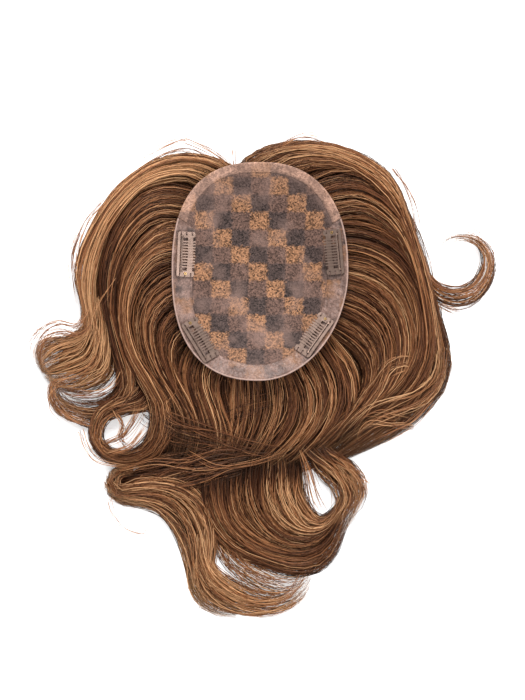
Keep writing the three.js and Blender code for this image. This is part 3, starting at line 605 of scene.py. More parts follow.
def bowl_height(x, y):
    """Height of the panel's lower side at a place measured from its middle."""
    share = rim_share(x, y)
    wave = RIM_WAVE * share**4 * np.sin(RIM_WAVES * np.arctan2(y, x))
    return RIM_TOP - PANEL_WALL - BOWL_DEPTH * (1 - share * share) + wave


# Meshes and attributes

def new_mesh_object(name, vertices, quads, triangles=None):
    """A mesh object from arrays of corners, and of quads and triangles that index them."""
    mesh = bpy.data.meshes.new(name)
    quads = np.asarray(quads, np.int32).reshape(-1, 4)
    triangles = np.asarray([] if triangles is None else triangles, np.int32).reshape(-1, 3)
    loops = np.concatenate([quads.ravel(), triangles.ravel()])
    starts = np.concatenate([
        np.arange(len(quads)) * 4,
        len(quads) * 4 + np.arange(len(triangles)) * 3,
    ])
    mesh.vertices.add(len(vertices))
    mesh.vertices.foreach_set("co", np.asarray(vertices, np.float32).ravel())
    mesh.loops.add(len(loops))
    mesh.loops.foreach_set("vertex_index", loops.astype(np.int32))
    mesh.polygons.add(len(starts))
    mesh.polygons.foreach_set("loop_start", starts.astype(np.int32))
    mesh.update(calc_edges=True)
    mesh.validate()
    mesh.shade_smooth()
    piece = bpy.data.objects.new(name, mesh)
    bpy.context.scene.collection.objects.link(piece)
    return piece


def add_values(piece, name, values):
    layer = piece.data.attributes.new(name, "FLOAT", "POINT")
    layer.data.foreach_set("value", np.asarray(values, np.float32))


def add_map(piece, name, places):
    """A UV map from one place for each vertex."""
    mesh = piece.data
    corners = np.empty(len(mesh.loops), np.int32)
    mesh.loops.foreach_get("vertex_index", corners)
    layer = mesh.uv_layers.new(name=name)
    layer.data.foreach_set("uv", np.asarray(places, np.float32)[corners].ravel())


def smooth_rows(rows, count):
    """Smooth values between a table's rows, at places evenly spaced along the middle line."""
    rows = np.array(rows, float)
    padded = np.vstack([2 * rows[0] - rows[1], rows, 2 * rows[-1] - rows[-2]])
    fine = np.linspace(0, len(rows) - 1, 40 * len(rows))
    row = np.minimum(fine.astype(int), len(rows) - 2)
    t = (fine - row)[:, None]
    a, b, c, d = (padded[row + k] for k in range(4))
    curve = b + 0.5 * t * (c - a + t * (2 * a - 5 * b + 4 * c - d + t * (3 * b - a - 3 * c + d)))
    middle = curve[:, :2] if rows.shape[1] < 4 else (curve[:, :2] + curve[:, 2:4]) / 2
    steps = np.linalg.norm(np.diff(middle, axis=0), axis=1)
    travelled = np.concatenate([[0], np.cumsum(steps)])
    places = np.linspace(0, travelled[-1], count)
    return np.stack([np.interp(places, travelled, column) for column in curve.T], 1)


def hair_place(across, along):
    """Metres in the frame from hundredths of the hair's half sizes."""
    x = PANEL_X + across / 100 * HAIR_HALF_WIDTH
    y = PANEL_Y - HAIR_SETBACK + along / 100 * HAIR_HALF_LENGTH
    return x, y


def under_panel(x, y, z, clearance):
    """Keeps hair below the panel where it passes under it."""
    px = x - PANEL_X
    py = y - PANEL_Y
    share = rim_share(px, py)
    ceiling = bowl_height(px, py) - clearance
    return np.where(share < 1.03, np.minimum(z, ceiling), z)


def ring_quads(rings, places):
    """The corners' numbers in a row of closed rings, and the quads between the rings."""
    index = np.arange(rings * places).reshape(rings, places)
    following = np.roll(index, -1, axis=1)
    quads = np.stack([index[:-1], following[:-1], following[1:], index[1:]], 2)
    return index, quads.reshape(-1, 4)


def turned(quads):
    """The same quads, seen from their other side and begun at the same corner."""
    return quads[:, (0, 3, 2, 1)]


def tubes(paths, radii, flatness, roll):
    """Closed three-sided tubes along paths of shape (strand, place, xyz): vertices, quads, ends."""
    count, places, _ = paths.shape
    tangent = np.gradient(paths, axis=1)
    tangent /= np.linalg.norm(tangent, axis=2, keepdims=True) + 1e-12
    side = np.cross(tangent, (0, 0, 1))
    side /= np.linalg.norm(side, axis=2, keepdims=True) + 1e-12
    up = np.cross(side, tangent)
    corners = []
    for k in range(3):
        turn = roll[:, None, None] + FULL_TURN * k / 3
        offset = np.cos(turn) * side + flatness * np.sin(turn) * up
        corners.append(paths + radii[:, :, None] * offset)
    vertices = np.stack(corners, 2).reshape(-1, 3)
    ring = np.arange(count * places * 3).reshape(count, places, 3)
    following = np.roll(ring, -1, axis=2)
    quads = np.stack([
        ring[:, :-1], following[:, :-1], following[:, 1:], ring[:, 1:],
    ], 3).reshape(-1, 4)
    starts = ring[:, 0, ::-1]
    ends = ring[:, -1]
    return vertices, quads, np.concatenate([starts, ends]).reshape(-1, 3)


# Shader groups

def new_group(name, inputs, outputs):
    """A shader node group with its sockets: name, socket type and default."""
    group = bpy.data.node_groups.new(name, "ShaderNodeTree")
    for label, kind, default in inputs:
        socket = group.interface.new_socket(name=label, in_out="INPUT", socket_type=kind)
        if default is not None:
            socket.default_value = default
    for label, kind in outputs:
        group.interface.new_socket(name=label, in_out="OUTPUT", socket_type=kind)
    return group, group.nodes.new("NodeGroupInput"), group.nodes.new("NodeGroupOutput")


def put(tree, socket, value):
    """Links a socket, or sets its constant."""
    if isinstance(value, bpy.types.NodeSocket):
        tree.links.new(value, socket)
    else:
        socket.default_value = value


def fill(tree, made, **values):
    """Sets a node's properties, and its inputs, whose names have underscores for spaces."""
    for key, value in values.items():
        if hasattr(made, key):
            setattr(made, key, value)
        else:
            put(tree, made.inputs[key.replace("_", " ")], value)
    return made


def node(tree, kind, **values):
    return fill(tree, tree.nodes.new(kind), **values)


def math_node(tree, operation, *values, clamp=False):
    made = node(tree, "ShaderNodeMath", operation=operation, use_clamp=clamp)
    for socket, value in zip(made.inputs, values):
        put(tree, socket, value)
    return made.outputs[0]


def mix_colors(tree, factor, first, second, blend="MIX"):
    made = node(tree, "ShaderNodeMix", data_type="RGBA", blend_type=blend)
    for place, value in ((0, factor), (6, first), (7, second)):
        put(tree, made.inputs[place], value)
    return made.outputs[2]


def shade_by(tree, color, value):
    """A colour times one value."""
    grey = node(tree, "ShaderNodeCombineColor", Red=value, Green=value, Blue=value)
    return mix_colors(tree, 1.0, color, grey.outputs[0], "MULTIPLY")


def read_value(tree, name):
    return node(tree, "ShaderNodeAttribute", attribute_name=name).outputs["Fac"]


def object_place(tree):
    return node(tree, "ShaderNodeTexCoord").outputs["Object"]


def color_steps(tree, factor, stops, interpolation="LINEAR"):
    """A color ramp with the given stops, fed by a factor."""
    made = node(tree, "ShaderNodeValToRGB", Fac=factor)
    made.color_ramp.interpolation = interpolation
    elements = made.color_ramp.elements
    elements[0].position, elements[0].color = stops[0][0], (*stops[0][1], 1)
    elements[1].position, elements[1].color = stops[-1][0], (*stops[-1][1], 1)
    for position, color in stops[1:-1]:
        elements.new(position).color = (*color, 1)
    return made.outputs[0]


def bump_node(tree, height, distance, strength=1.0):
    made = node(tree, "ShaderNodeBump", Strength=strength, Distance=distance, Height=height)
    return made.outputs[0]


def streak_group():
    """Fine lengthwise streaks on a map whose U runs across the hair and V along it, in metres."""
    inputs = (
        ("Across", "NodeSocketFloat", 900.0),
        ("Along", "NodeSocketFloat", 14.0),
        ("Detail", "NodeSocketFloat", 3.0),
    )
    group, start, end = new_group("Hair Streaks", inputs, (("Streak", "NodeSocketFloat"),))
    flow = node(group, "ShaderNodeUVMap", uv_map="Flow").outputs[0]
    ways = start.outputs
    scale = node(group, "ShaderNodeCombineXYZ", X=ways["Across"], Y=ways["Along"]).outputs[0]
    stretched = node(group, "ShaderNodeVectorMath", operation="MULTIPLY")
    put(group, stretched.inputs[0], flow)
    put(group, stretched.inputs[1], scale)
    noise = node(
        group, "ShaderNodeTexNoise", noise_dimensions="2D", Scale=1, Roughness=0.65,
        Detail=ways["Detail"], Vector=stretched.outputs[0],
    )
    fill(group, end, Streak=noise.outputs[0])
    return group


def speckle_group():
    """Fine knots and a slow mottle in the panel's plane, each from 0 to 1."""
    inputs = (
        ("Knot Pitch", "NodeSocketFloat", 0.0009),
        ("Mottle Size", "NodeSocketFloat", 0.02),
    )
    outputs = tuple((label, "NodeSocketFloat") for label in ("Knots", "Dots", "Mottle"))
    group, start, end = new_group("Lace Speckle", inputs, outputs)
    place = object_place(group)
    fine = math_node(group, "DIVIDE", 1.0, start.outputs["Knot Pitch"])
    cells = node(group, "ShaderNodeTexVoronoi", Scale=fine, Vector=place)
    tone = node(group, "ShaderNodeSeparateColor", Color=cells.outputs["Color"])
    broad = math_node(group, "DIVIDE", 1.0, start.outputs["Mottle Size"])
    mottle = node(group, "ShaderNodeTexNoise", Detail=4, Scale=broad, Vector=place)
    fill(
        group, end, Knots=tone.outputs[0], Dots=cells.outputs["Distance"],
        Mottle=mottle.outputs[0],
    )
    return group


def check_group(settings):
    """The three-tone check of the knotted lace: 0 dark, 0.33 middle and 0.67 copper."""
    inputs = (
        ("Cell Width", "NodeSocketFloat", settings.cell_width),
        ("Cell Length", "NodeSocketFloat", settings.cell_length),
        ("Ragged Edge", "NodeSocketFloat", 0.0095),
        ("Fray Shift", "NodeSocketFloat", 0.0),
    )
    group, start, end = new_group("Knot Check", inputs, (("Tone", "NodeSocketFloat"),))
    place = object_place(group)
    parts = node(group, "ShaderNodeSeparateXYZ", Vector=place)
    frayed = node(
        group, "ShaderNodeTexNoise", noise_dimensions="4D", Scale=420, Detail=5, Vector=place,
        W=start.outputs["Fray Shift"],
    )
    shift = node(group, "ShaderNodeSeparateColor", Color=frayed.outputs["Color"])
    moved = []
    for axis in range(2):
        centred = math_node(group, "SUBTRACT", shift.outputs[axis], 0.5)
        offset = math_node(group, "MULTIPLY", centred, start.outputs["Ragged Edge"])
        moved.append(math_node(group, "ADD", parts.outputs[axis], offset))
    down = math_node(group, "SUBTRACT", CHECK_TOP, moved[1])
    rows = math_node(group, "DIVIDE", down, start.outputs["Cell Length"])
    row = math_node(group, "FLOOR", rows)
    across = math_node(group, "SUBTRACT", moved[0], CHECK_LEFT)
    slanted = math_node(group, "MULTIPLY_ADD", row, CHECK_DRIFT, across)
    columns = math_node(group, "DIVIDE", slanted, start.outputs["Cell Width"])
    column = math_node(group, "FLOOR", columns)
    step = math_node(group, "SUBTRACT", column, row)
    above_zero = math_node(group, "ADD", step, 300.5)
    index = math_node(group, "MODULO", above_zero, 3.0)
    tone = math_node(group, "DIVIDE", math_node(group, "FLOOR", index), 3.0)
    fill(group, end, Tone=tone)
    return group


# Materials

def new_material(name):
    material = bpy.data.materials.new(name)
    material.use_nodes = True
    shader = material.node_tree.nodes["Principled BSDF"]
    return material, material.node_tree, shader


def place_group(tree, group, **values):
    return node(tree, "ShaderNodeGroup", node_tree=group, **values)


def hair_material(settings, streaks):
    """Silky strands: each strand's tint, streaked lengthwise and darkened by its painted shade."""
    material, tree, shader = new_material("silky brown hair")
    fine = place_group(tree, streaks, Across=2600.0, Along=30.0).outputs[0]
    broad = place_group(tree, streaks, Across=420.0, Along=9.0).outputs[0]
    swing = math_node(tree, "MULTIPLY_ADD", fine, 0.6, -0.3)
    drift = math_node(tree, "MULTIPLY_ADD", broad, 0.7, -0.35)
    streaked = math_node(tree, "ADD", read_value(tree, "tint"), swing)
    total = math_node(tree, "ADD", streaked, drift, clamp=True)
    stops = (
        (0.0, settings.dark), (0.35, settings.brown), (0.65, settings.copper), (1.0, settings.gold),
    )
    color = color_steps(tree, total, stops)
    # The base colour is darkened by the painted shade that each strand carries.
    fill(
        tree, shader, Base_Color=shade_by(tree, color, read_value(tree, "shade")),
        Roughness=math_node(tree, "MULTIPLY_ADD", fine, 0.2, settings.roughness - 0.1),
        Specular_IOR_Level=0.5, Specular_Tint=(*settings.gloss, 1),
        Normal=bump_node(tree, fine, 0.0003, 0.2),
    )
    return material


def inner_hair_material(settings, streaks):
    """The hair far inside the mass, streaked, without gloss, and darkened as painted shade."""
    material, tree, shader = new_material("shadowed inner hair")
    fine = place_group(tree, streaks, Across=1500.0, Along=12.0).outputs[0]
    # Darkened copies of the dark and brown hair colours, as painted shade.
    deep = tuple(0.3 * value for value in settings.dark)
    lit = tuple(0.42 * value for value in settings.brown)
    fill(
        tree, shader, Roughness=0.9, Specular_IOR_Level=0.05,
        Base_Color=color_steps(tree, fine, ((0.35, deep), (0.5, settings.dark), (0.72, lit))),
        Normal=bump_node(tree, fine, 0.0008, 0.5),
    )
    return material


def check_colors(tree, check, settings):
    """The check's colours, softened by blending three differently frayed copies of it."""
    stops = ((0.0, settings.dark), (0.25, settings.middle), (0.55, settings.copper))
    blend = None
    for step, shift in enumerate((0.0, 5.0, 11.0)):
        tone = place_group(tree, check, Fray_Shift=shift).outputs[0]
        color = color_steps(tree, tone, stops, "CONSTANT")
        blend = color if blend is None else mix_colors(tree, 1 / (step + 1), blend, color)
    return blend


def lace_material(settings, check, speckle):
    """Knotted lace in a three-tone check under a clear skin, with a painted highlight towards
    the rim and in mottled patches.
    """
    material, tree, shader = new_material("knotted lace check")
    tone = place_group(tree, check).outputs[0]
    marks = place_group(tree, speckle).outputs
    base = check_colors(tree, check, settings)
    swings = tuple((start, (swing,) * 3) for start, swing in ((0.0, 0.9), (0.25, 0.8), (0.55, 1.0)))
    swing = color_steps(tree, tone, swings, "CONSTANT")
    knot = math_node(tree, "SUBTRACT", marks["Knots"], 0.5)
    gain = math_node(tree, "MULTIPLY_ADD", math_node(tree, "MULTIPLY", knot, swing), 1.7, 1.0)
    knotted = shade_by(tree, base, gain)
    # Paler where more of the clear skin's colour shows, towards the rim and in mottled patches:
    # painted highlight.
    rim_haze = math_node(tree, "POWER", read_value(tree, "rim"), 9.0)
    rim_haze = math_node(tree, "MULTIPLY", rim_haze, 0.6)
    mottle = math_node(tree, "MULTIPLY_ADD", marks["Mottle"], 2.4, -1.2, clamp=True)
    haze = math_node(tree, "ADD", rim_haze, mottle, clamp=True)
    haze = math_node(tree, "MINIMUM", haze, 0.5)
    fill(
        tree, shader, Base_Color=mix_colors(tree, haze, knotted, (*settings.skin, 1)),
        Roughness=0.6, Specular_IOR_Level=0.15,
        Normal=bump_node(tree, marks["Dots"], 0.0003, 0.6),
    )
    return material


def skin_material(settings, check, speckle):
    """Soft translucent skin with the check dimly under it, painted highlights in mottled patches,
    and a rolled rim painted pale as a highlight.
    """
    material, tree, shader = new_material("translucent skin band")
    marks = place_group(tree, speckle, Mottle_Size=0.008).outputs
    under = check_colors(tree, check, settings)
    # Where the mottle hides the check, the skin's pale colour stands for a painted highlight on its
    # wrinkles.
    seen = math_node(tree, "MULTIPLY_ADD", marks["Mottle"], -2.6, 1.75, clamp=True)
    skin = mix_colors(tree, seen, (*settings.skin, 1), under)
    skin = shade_by(tree, skin, math_node(tree, "MULTIPLY_ADD", marks["Knots"], 0.6, 0.7))
    # A painted highlight: near the outer edge the rolled rim is mixed towards the pale rim colour.
    rim = math_node(tree, "LESS_THAN", read_value(tree, "inset"), 0.07)
    skin = mix_colors(tree, math_node(tree, "MULTIPLY", rim, 0.75), skin, (*settings.rim, 1))
    crease = place_group(tree, speckle, Mottle_Size=0.0045).outputs["Mottle"]
    creased = math_node(tree, "MULTIPLY_ADD", crease, 0.5, marks["Mottle"])
    fill(
        tree, shader, Base_Color=skin, Roughness=0.42, Specular_IOR_Level=0.32,
        Normal=bump_node(tree, creased, 0.0026),
    )
    return material


def hem_material(settings, check, speckle):
    """Fine pinkish lace folded over the front edge; crosswise fold lines are bumps and painted
    light and shade.
    """
    material, tree, shader = new_material("folded lace hem")
    marks = place_group(tree, speckle, Mottle_Size=0.009).outputs
    under = check_colors(tree, check, settings)
    seen = math_node(tree, "MULTIPLY_ADD", marks["Mottle"], -1.8, 1.25, clamp=True)
    inset = read_value(tree, "inset")
    inner = math_node(tree, "MULTIPLY_ADD", inset, 1.5, -0.75, clamp=True)
    lace = mix_colors(tree, math_node(tree, "MAXIMUM", seen, inner), (*settings.hem, 1), under)
    # Crosswise fold lines lighten and darken the lace: painted light and shade.
    travel = math_node(tree, "MULTIPLY", read_value(tree, "travel"), 1900.0)
    folds = math_node(tree, "SINE", travel)
    net = math_node(tree, "MULTIPLY_ADD", marks["Knots"], 0.7, 0.66)
    net = math_node(tree, "MULTIPLY_ADD", folds, 0.06, net)
    fill(
        tree, shader, Base_Color=shade_by(tree, lace, net), Roughness=0.6,
        Specular_IOR_Level=0.3, Normal=bump_node(tree, net, 0.0002, 0.6),
    )
    return material


def metal_material(name, color, metallic, roughness):
    """A smooth metal with faint scratches and worn, uneven gloss."""
    material, tree, shader = new_material(name)
    place = object_place(tree)
    wear = node(tree, "ShaderNodeTexNoise", Scale=260, Detail=3, Vector=place).outputs[0]
    dark = tuple(0.75 * value for value in color)
    fill(
        tree, shader, Base_Color=color_steps(tree, wear, ((0.3, dark), (0.65, color))),
        Metallic=metallic, Roughness=math_node(tree, "MULTIPLY_ADD", wear, 0.14, roughness - 0.07),
        Normal=bump_node(tree, wear, 0.00002, 0.3),
    )
    return material


def thread_material(settings):
    """Twisted sewing thread, darker in the grooves of its twist as painted shade."""
    material, tree, shader = new_material("sewing thread")
    # Painted shade: dark stripes in the grooves of the twist.
    twist = node(tree, "ShaderNodeTexWave", Scale=1800, Vector=object_place(tree)).outputs[0]
    dark = tuple(0.5 * value for value in settings.thread)
    tint = color_steps(tree, twist, ((0.2, dark), (0.8, settings.thread)))
    fill(tree, shader, Base_Color=tint, Roughness=0.7)
    return material


# Settings

def color_property(name, description, default):
    return FloatVectorProperty(
        name=name, description=description, default=default, min=0, max=1, subtype="COLOR",
    )


class HairSettings(bpy.types.PropertyGroup):
    """Sizes and colours of the strands."""

    strand_width: FloatProperty(
        name="Strand Width", description="Width of one bundle of hairs", default=0.00045,
        min=0.0001, max=0.003, subtype="DISTANCE", unit="LENGTH", precision=5,
    )
    share: FloatProperty(
        name="Strand Share", description="Share of the full number of strands", default=1.0,
        min=0.02, max=1.0, subtype="FACTOR",
    )
    roughness: FloatProperty(
        name="Roughness", description="Mean roughness of the strands", default=0.36,
        min=0.0, max=1.0, subtype="FACTOR",
    )
    dark: color_property(
        name="Dark Brown", description="Darkest strands", default=(0.026, 0.0078, 0.0036),
    )
    brown: color_property(
        name="Brown", description="Main strands", default=(0.145, 0.05, 0.022),
    )
    copper: color_property(
        name="Copper", description="Lighter strands", default=(0.4, 0.165, 0.066),
    )
    gold: color_property(
        name="Gold", description="Lightest strands", default=(0.82, 0.46, 0.23),
    )
    gloss: color_property(
        name="Gloss", description="Tint of the strands' shine", default=(1.0, 0.68, 0.5),
    )


class PanelSettings(bpy.types.PropertyGroup):
    """The lace's check and the colours of lace, skin and hem."""

    cell_width: FloatProperty(
        name="Cell Width", description="Width of one check of knots", default=0.01308,
        min=0.002, max=0.05, subtype="DISTANCE", unit="LENGTH", precision=5,
    )
    cell_length: FloatProperty(
        name="Cell Length", description="Length of one check of knots", default=0.01222,
        min=0.002, max=0.05, subtype="DISTANCE", unit="LENGTH", precision=5,
    )
    dark: color_property(
        name="Dark Knots", description="Darkest check", default=(0.05, 0.033, 0.029),
    )
    middle: color_property(
        name="Middle Knots", description="Middle check", default=(0.105, 0.06, 0.046),
    )
    copper: color_property(
        name="Copper Knots", description="Lightest check", default=(0.22, 0.108, 0.056),
    )
    skin: color_property(
        name="Skin", description="Clear skin over the lace", default=(0.25, 0.157, 0.129),
    )
    # The rim's pale colour is a painted highlight along the band's rolled edge.
    rim: color_property(
        name="Rim", description="Rolled rim of the band", default=(0.4, 0.265, 0.22),
    )
    hem: color_property(
        name="Hem", description="Folded lace at the front", default=(0.47, 0.275, 0.2),
    )


class ClipSettings(bpy.types.PropertyGroup):
    """Colours of the snap clips and their thread."""

    steel: color_property(
        name="Steel", description="Coated spring steel", default=(0.37, 0.255, 0.205),
    )
    brass: color_property(
        name="Brass", description="Eyelets", default=(0.65, 0.43, 0.2),
    )
    thread: color_property(
        name="Thread", description="Sewing thread at the clips", default=(0.2, 0.12, 0.1),
    )


class StageSettings(bpy.types.PropertyGroup):
    """The floor, the lights and the camera."""

    distance: FloatProperty(
        name="Camera Distance", description="From the camera to the middle of the hair's height",
        default=1.6, min=0.5, max=5, subtype="DISTANCE", unit="LENGTH",
    )
    floor: color_property(
        name="Floor", description="Colour of the floor", default=(0.9, 0.9, 0.9),
    )
    key_power: FloatProperty(
        name="Key Light", description="Power of the soft light overhead", default=34,
        min=0, subtype="POWER", unit="POWER",
    )


# Hair

def strand_plan(stream, settings):
    """Where each strand lies: its clump, its shift across the stream, its depth and its tint."""
    count = max(FEWEST_STRANDS, int(stream["strands"] * settings.share))
    clumps = stream["clumps"]
    clump = rng.integers(0, clumps, count)
    evenly = np.linspace(-CLUMP_REACH, CLUMP_REACH, clumps)
    centre = evenly + rng.normal(0, CLUMP_STRAY / clumps, clumps)
    loose = rng.random(count) < LOOSE_SHARE
    edge = rng.random(count) < EDGE_SHARE
    spread = rng.normal(0, STRAND_STRAY / clumps, count)
    side = np.where(loose, rng.uniform(-1, 1, count), centre[clump] + spread)
    bank = np.sign(rng.uniform(-1, 1, count)) * (1 - EDGE_DEPTH * rng.random(count) ** 2)
    side = np.clip(np.where(edge, bank, side), -1, 1)
    clump_depth = rng.random(clumps) ** 2.0
    depth = np.clip(clump_depth[clump] * 0.5 + rng.random(count) ** 2 * 0.5, 0, 1)
    depth = np.where(edge, rng.random(count), depth)
    depth = 1 - stream["low"] + stream["low"] * depth
    bright = rng.random(count) < BRIGHT_SHARE
    dull = rng.random(count) < DULL_SHARE
    clump_tint = rng.normal(0, CLUMP_TINT, clumps)
    # Painted highlights and painted shade across the stream shift the tint.
    sides, shifts = zip(*stream["bands"])
    tint = stream["tint"] + clump_tint[clump] + np.interp(side, sides, shifts)
    tint = tint + rng.normal(0, STRAND_TINT, count) + BRIGHT_TINT * bright - DULL_TINT * dull
    return dict(
        count=count, clumps=clumps, clump=clump, centre=centre, side=side, depth=depth, loose=loose,
        edge=edge, tint=tint,
    )


def crown(side):
    """Share of the full height at a shift across a stream, round at both edges."""
    return np.sqrt(np.clip(1 - np.abs(side) ** 5, 0, 1))


def top_height(stream, along, t):
    rise = np.interp(along, TOP_ALONG, TOP_HEIGHT) * stream["top"]
    dip = 1 - (1 - stream["root"]) * np.clip(1 - t / 0.25, 0, 1) ** 1.5
    return rise * dip * (1 - stream["tip"] * t**3)


def stream_places(columns, side):
    """Places in the frame, and along in hundredths, at shifts across a stream's sections."""
    share = (side + 1) / 2
    across = columns[0] * (1 - share) + columns[2] * share
    along = columns[1] * (1 - share) + columns[3] * share
    return (*hair_place(across, along), along)


def taper(places, least):
    """Share of a strand's width at places from its root to its tip."""
    return np.clip((1 - np.linspace(0, 1, places)) / 0.3, least, 1)[None]


def stream_paths(stream, settings, plan):
    """Middle lines of a stream's strands, and their places from root to tip."""
    stations = smooth_rows(stream["rows"], 160)
    steps = np.linspace(0, 1, len(stations))
    count = plan["count"]
    start = rng.random(count) ** 2 * START_SPREAD
    late = rng.random(count) < stream["late"]
    start = np.where(late, rng.uniform(*LATE_START, count), start)
    feather = stream["feather"]
    stop = 1 - feather * rng.random(count) ** (2.5 if feather < 0.3 else 1.1)
    short = rng.random(count) < SHORT_SHARE
    stop = np.where(short, rng.uniform(*SHORT_STOP, count), stop)
    places = np.linspace(0, 1, stream["segments"])
    t = start[:, None] + (stop - start)[:, None] * places[None]

    def of_clump(values):
        return values[plan["clump"]][:, None]

    clumps = plan["clumps"]
    centre = of_clump(plan["centre"])
    free = (plan["loose"] | plan["edge"])[:, None]
    side = plan["side"][:, None] + 0 * t
    gather = np.where(free, 0.0, GATHER) * np.clip(t * 1.3, 0, 1) ** 1.5
    side = side + (centre - side) * gather
    side = side + of_clump(rng.normal(0, 0.09, clumps)) * (t - 0.4)
    crossing = np.where(plan["loose"], LOOSE_CROSSING, CLUMP_CROSSING)
    cross = crossing * rng.normal(0, 1, count)
    side = side + cross[:, None] * (t - 0.4)
    side = np.clip(side, -1.03, 1.03)
    phase = of_clump(rng.uniform(0, FULL_TURN, clumps))
    beat = of_clump(rng.uniform(0.8, 2.0, clumps))
    own_phase = rng.uniform(0, FULL_TURN, count)[:, None]
    own_beat = rng.uniform(1.0, 3.2, count)[:, None]

    columns = [np.interp(t, steps, column) for column in stations.T]
    x, y, along = stream_places(columns, side)
    run_x = np.gradient(x, axis=1)
    run_y = np.gradient(y, axis=1)
    run = np.hypot(run_x, run_y) + 1e-12
    waves = CLUMP_WAVE * np.sin(phase + FULL_TURN * beat * t)
    own_wave = np.where(free, LOOSE_WAVE, STRAND_WAVE)
    waves = waves + own_wave * np.sin(own_phase + FULL_TURN * own_beat * t)
    sway = stream["sway"] * MM * waves * np.clip(t * 4, 0, 1)
    x = x - run_y / run * sway
    y = y + run_x / run * sway

    top = top_height(stream, along, t) * crown(side)
    rise = of_clump(rng.uniform(-1.6, 0, clumps)) * MM
    hollow = np.clip(np.abs(side - centre) * clumps / 3.2, 0, 1) ** 2 * 0.8 * MM
    ripple = 0.5 * MM * np.sin(own_phase * 2 + FULL_TURN * own_beat * 0.7 * t)
    z = top * (1 - 0.8 * plan["depth"][:, None]) + rise - hollow + ripple
    z = np.clip(z, 0.6 * settings.strand_width, None)
    z = under_panel(x, y, z, 0.5 * MM + 3 * MM * plan["depth"][:, None])
    return np.stack([x, y, z], 2), t


def strand_maps(paths, side):
    """The streak map of strands, and one cell of the baking map for each of them."""
    count, n, _ = paths.shape
    lengths = np.cumsum(np.linalg.norm(np.gradient(paths, axis=1), axis=2), axis=1)
    flow_u = (side * 0.02 + rng.uniform(0, 4, count))[:, None, None] + np.arange(3) * 0.0003
    flow_v = lengths[:, :, None] + np.zeros(3)
    flow = np.stack([flow_u + 0 * flow_v, flow_v], 3).reshape(-1, 2)
    cells = math.ceil(math.sqrt(count + 1))
    cell = np.arange(count)[:, None, None]
    along = (0.05 + 0.9 * np.linspace(0, 1, n))[None, :, None]
    cell_u = cell % cells + np.array([0.1, 0.5, 0.9]) + np.zeros((1, n, 1))
    cell_v = cell // cells + along + np.zeros(3)
    baked = np.stack([cell_u / cells, cell_v / cells], 3).reshape(-1, 2)
    return flow, baked


def strands_object(name, paths, radii, tint, shade, side, material):
    """One piece that joins many strands, with their values and maps."""
    vertices, quads, ends = tubes(paths, radii, 0.7, rng.uniform(0, FULL_TURN, len(paths)))
    piece = new_mesh_object(name, vertices, quads, ends)
    add_values(piece, "tint", np.repeat(tint.ravel(), 3))
    add_values(piece, "shade", np.repeat(shade.ravel(), 3))
    flow, baked = strand_maps(paths, side)
    add_map(piece, "Flow", flow)
    add_map(piece, "OFBake", baked)
    piece.data.materials.append(material)
    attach(piece, "root")
    return piece


def hair_mass(name, vertices, faces, flow, material):
    """A closed mass of shadowed hair, with its streak map."""
    piece = new_mesh_object(name, vertices, *faces)
    add_map(piece, "Flow", flow)
    piece.data.materials.append(material)
    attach(piece, "root")
    return piece


def stream_core(stream):
    """The inner mass, dark with painted shade: a closed slab a little inside its strands."""
    fills = stream["low"] < 1
    share_within, narrowing, height = (0.97, 0.35, 0.3) if fills else (0.8, 0.75, 0.6)
    stations = smooth_rows(stream["rows"], CORE_STATIONS)
    t = np.linspace(0, stream["core"], CORE_RINGS)[:, None]
    stations = stations[np.round(t[:, 0] * (CORE_STATIONS - 1)).astype(int)]
    t = t / t[-1]
    sides = np.array(CORE_SHIFTS)
    inset = share_within * (1 - narrowing * np.clip(t * 1.15, 0, 1) ** 5)
    x, y, along = stream_places(stations.T[:, :, None], sides[None] * inset)
    top = top_height(stream, along, t) * crown(sides[None] * 0.98) * (1 - 0.5 * t**4)
    ends = np.clip(t / 0.12, 0.15, 1) * np.clip((1 - t) / 0.2, 0.1, 1)
    z = under_panel(x, y, np.clip(top * ends * height, 1 * MM, None), 2.5 * MM)
    upper = np.stack([x, y, np.clip(z, 0.8 * MM, None)], 2)
    lower = np.stack([x, y, np.full_like(x, 0.2 * MM)], 2)[:, ::-1]
    rings = np.concatenate([upper, lower], 1)
    width = rings.shape[1]
    index, quads = ring_quads(CORE_RINGS, width)
    k = np.arange(len(sides) - 1)
    corners = np.stack([k, k + 1, width - 2 - k, width - 1 - k], 1)
    quads = np.concatenate([turned(quads), index[0][corners], index[-1][corners][:, ::-1]])
    flow_u = np.concatenate([sides, sides[::-1] + 2.2])[None] * 0.02 + 0 * t
    flow_v = t * 0.25 + np.zeros(width)[None]
    flow = np.stack([flow_u, flow_v], 2).reshape(-1, 2)
    return rings.reshape(-1, 3), quads, flow


def build_stream(stream, settings, material, inner):
    """The strands of a stream, and its inner mass where it has one."""
    plan = strand_plan(stream, settings)
    paths, t = stream_paths(stream, settings, plan)
    size = settings.strand_width / 2 * rng.uniform(*WIDTH_SPREAD, plan["count"])[:, None]
    radii = size * taper(stream["segments"], 0.1) ** 0.8
    drift = 0.07 * np.sin(rng.uniform(0, FULL_TURN, plan["count"])[:, None] + 7 * t)
    # Painted highlights and painted shade along the stream shift the tint.
    places, glows = zip(*stream["glow"])
    tint = plan["tint"][:, None] + np.interp(t, places, glows) + drift
    # Painted shade: the deeper a strand lies, the darker it is.
    shade = 1 - DEEP_SHADE * np.clip(plan["depth"][:, None] * 1.5, 0, 1)
    # Painted shade at the roots and at the tips darkens them further.
    shade = shade * (1 - stream["dawn"] * np.clip(1 - t / 0.26, 0, 1))
    shade = shade * (1 - stream["dusk"] * np.clip((t - 0.62) / 0.34, 0, 1))
    name = stream["name"]
    piece = strands_object(name + "_strands", paths, radii, tint, shade, plan["side"], material)
    if stream["nodes"]:
        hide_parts(*stream["nodes"])
    if stream["core"]:
        vertices, quads, flow = stream_core(stream)
        hair_mass(name + "_mass", vertices, (quads,), flow, inner)


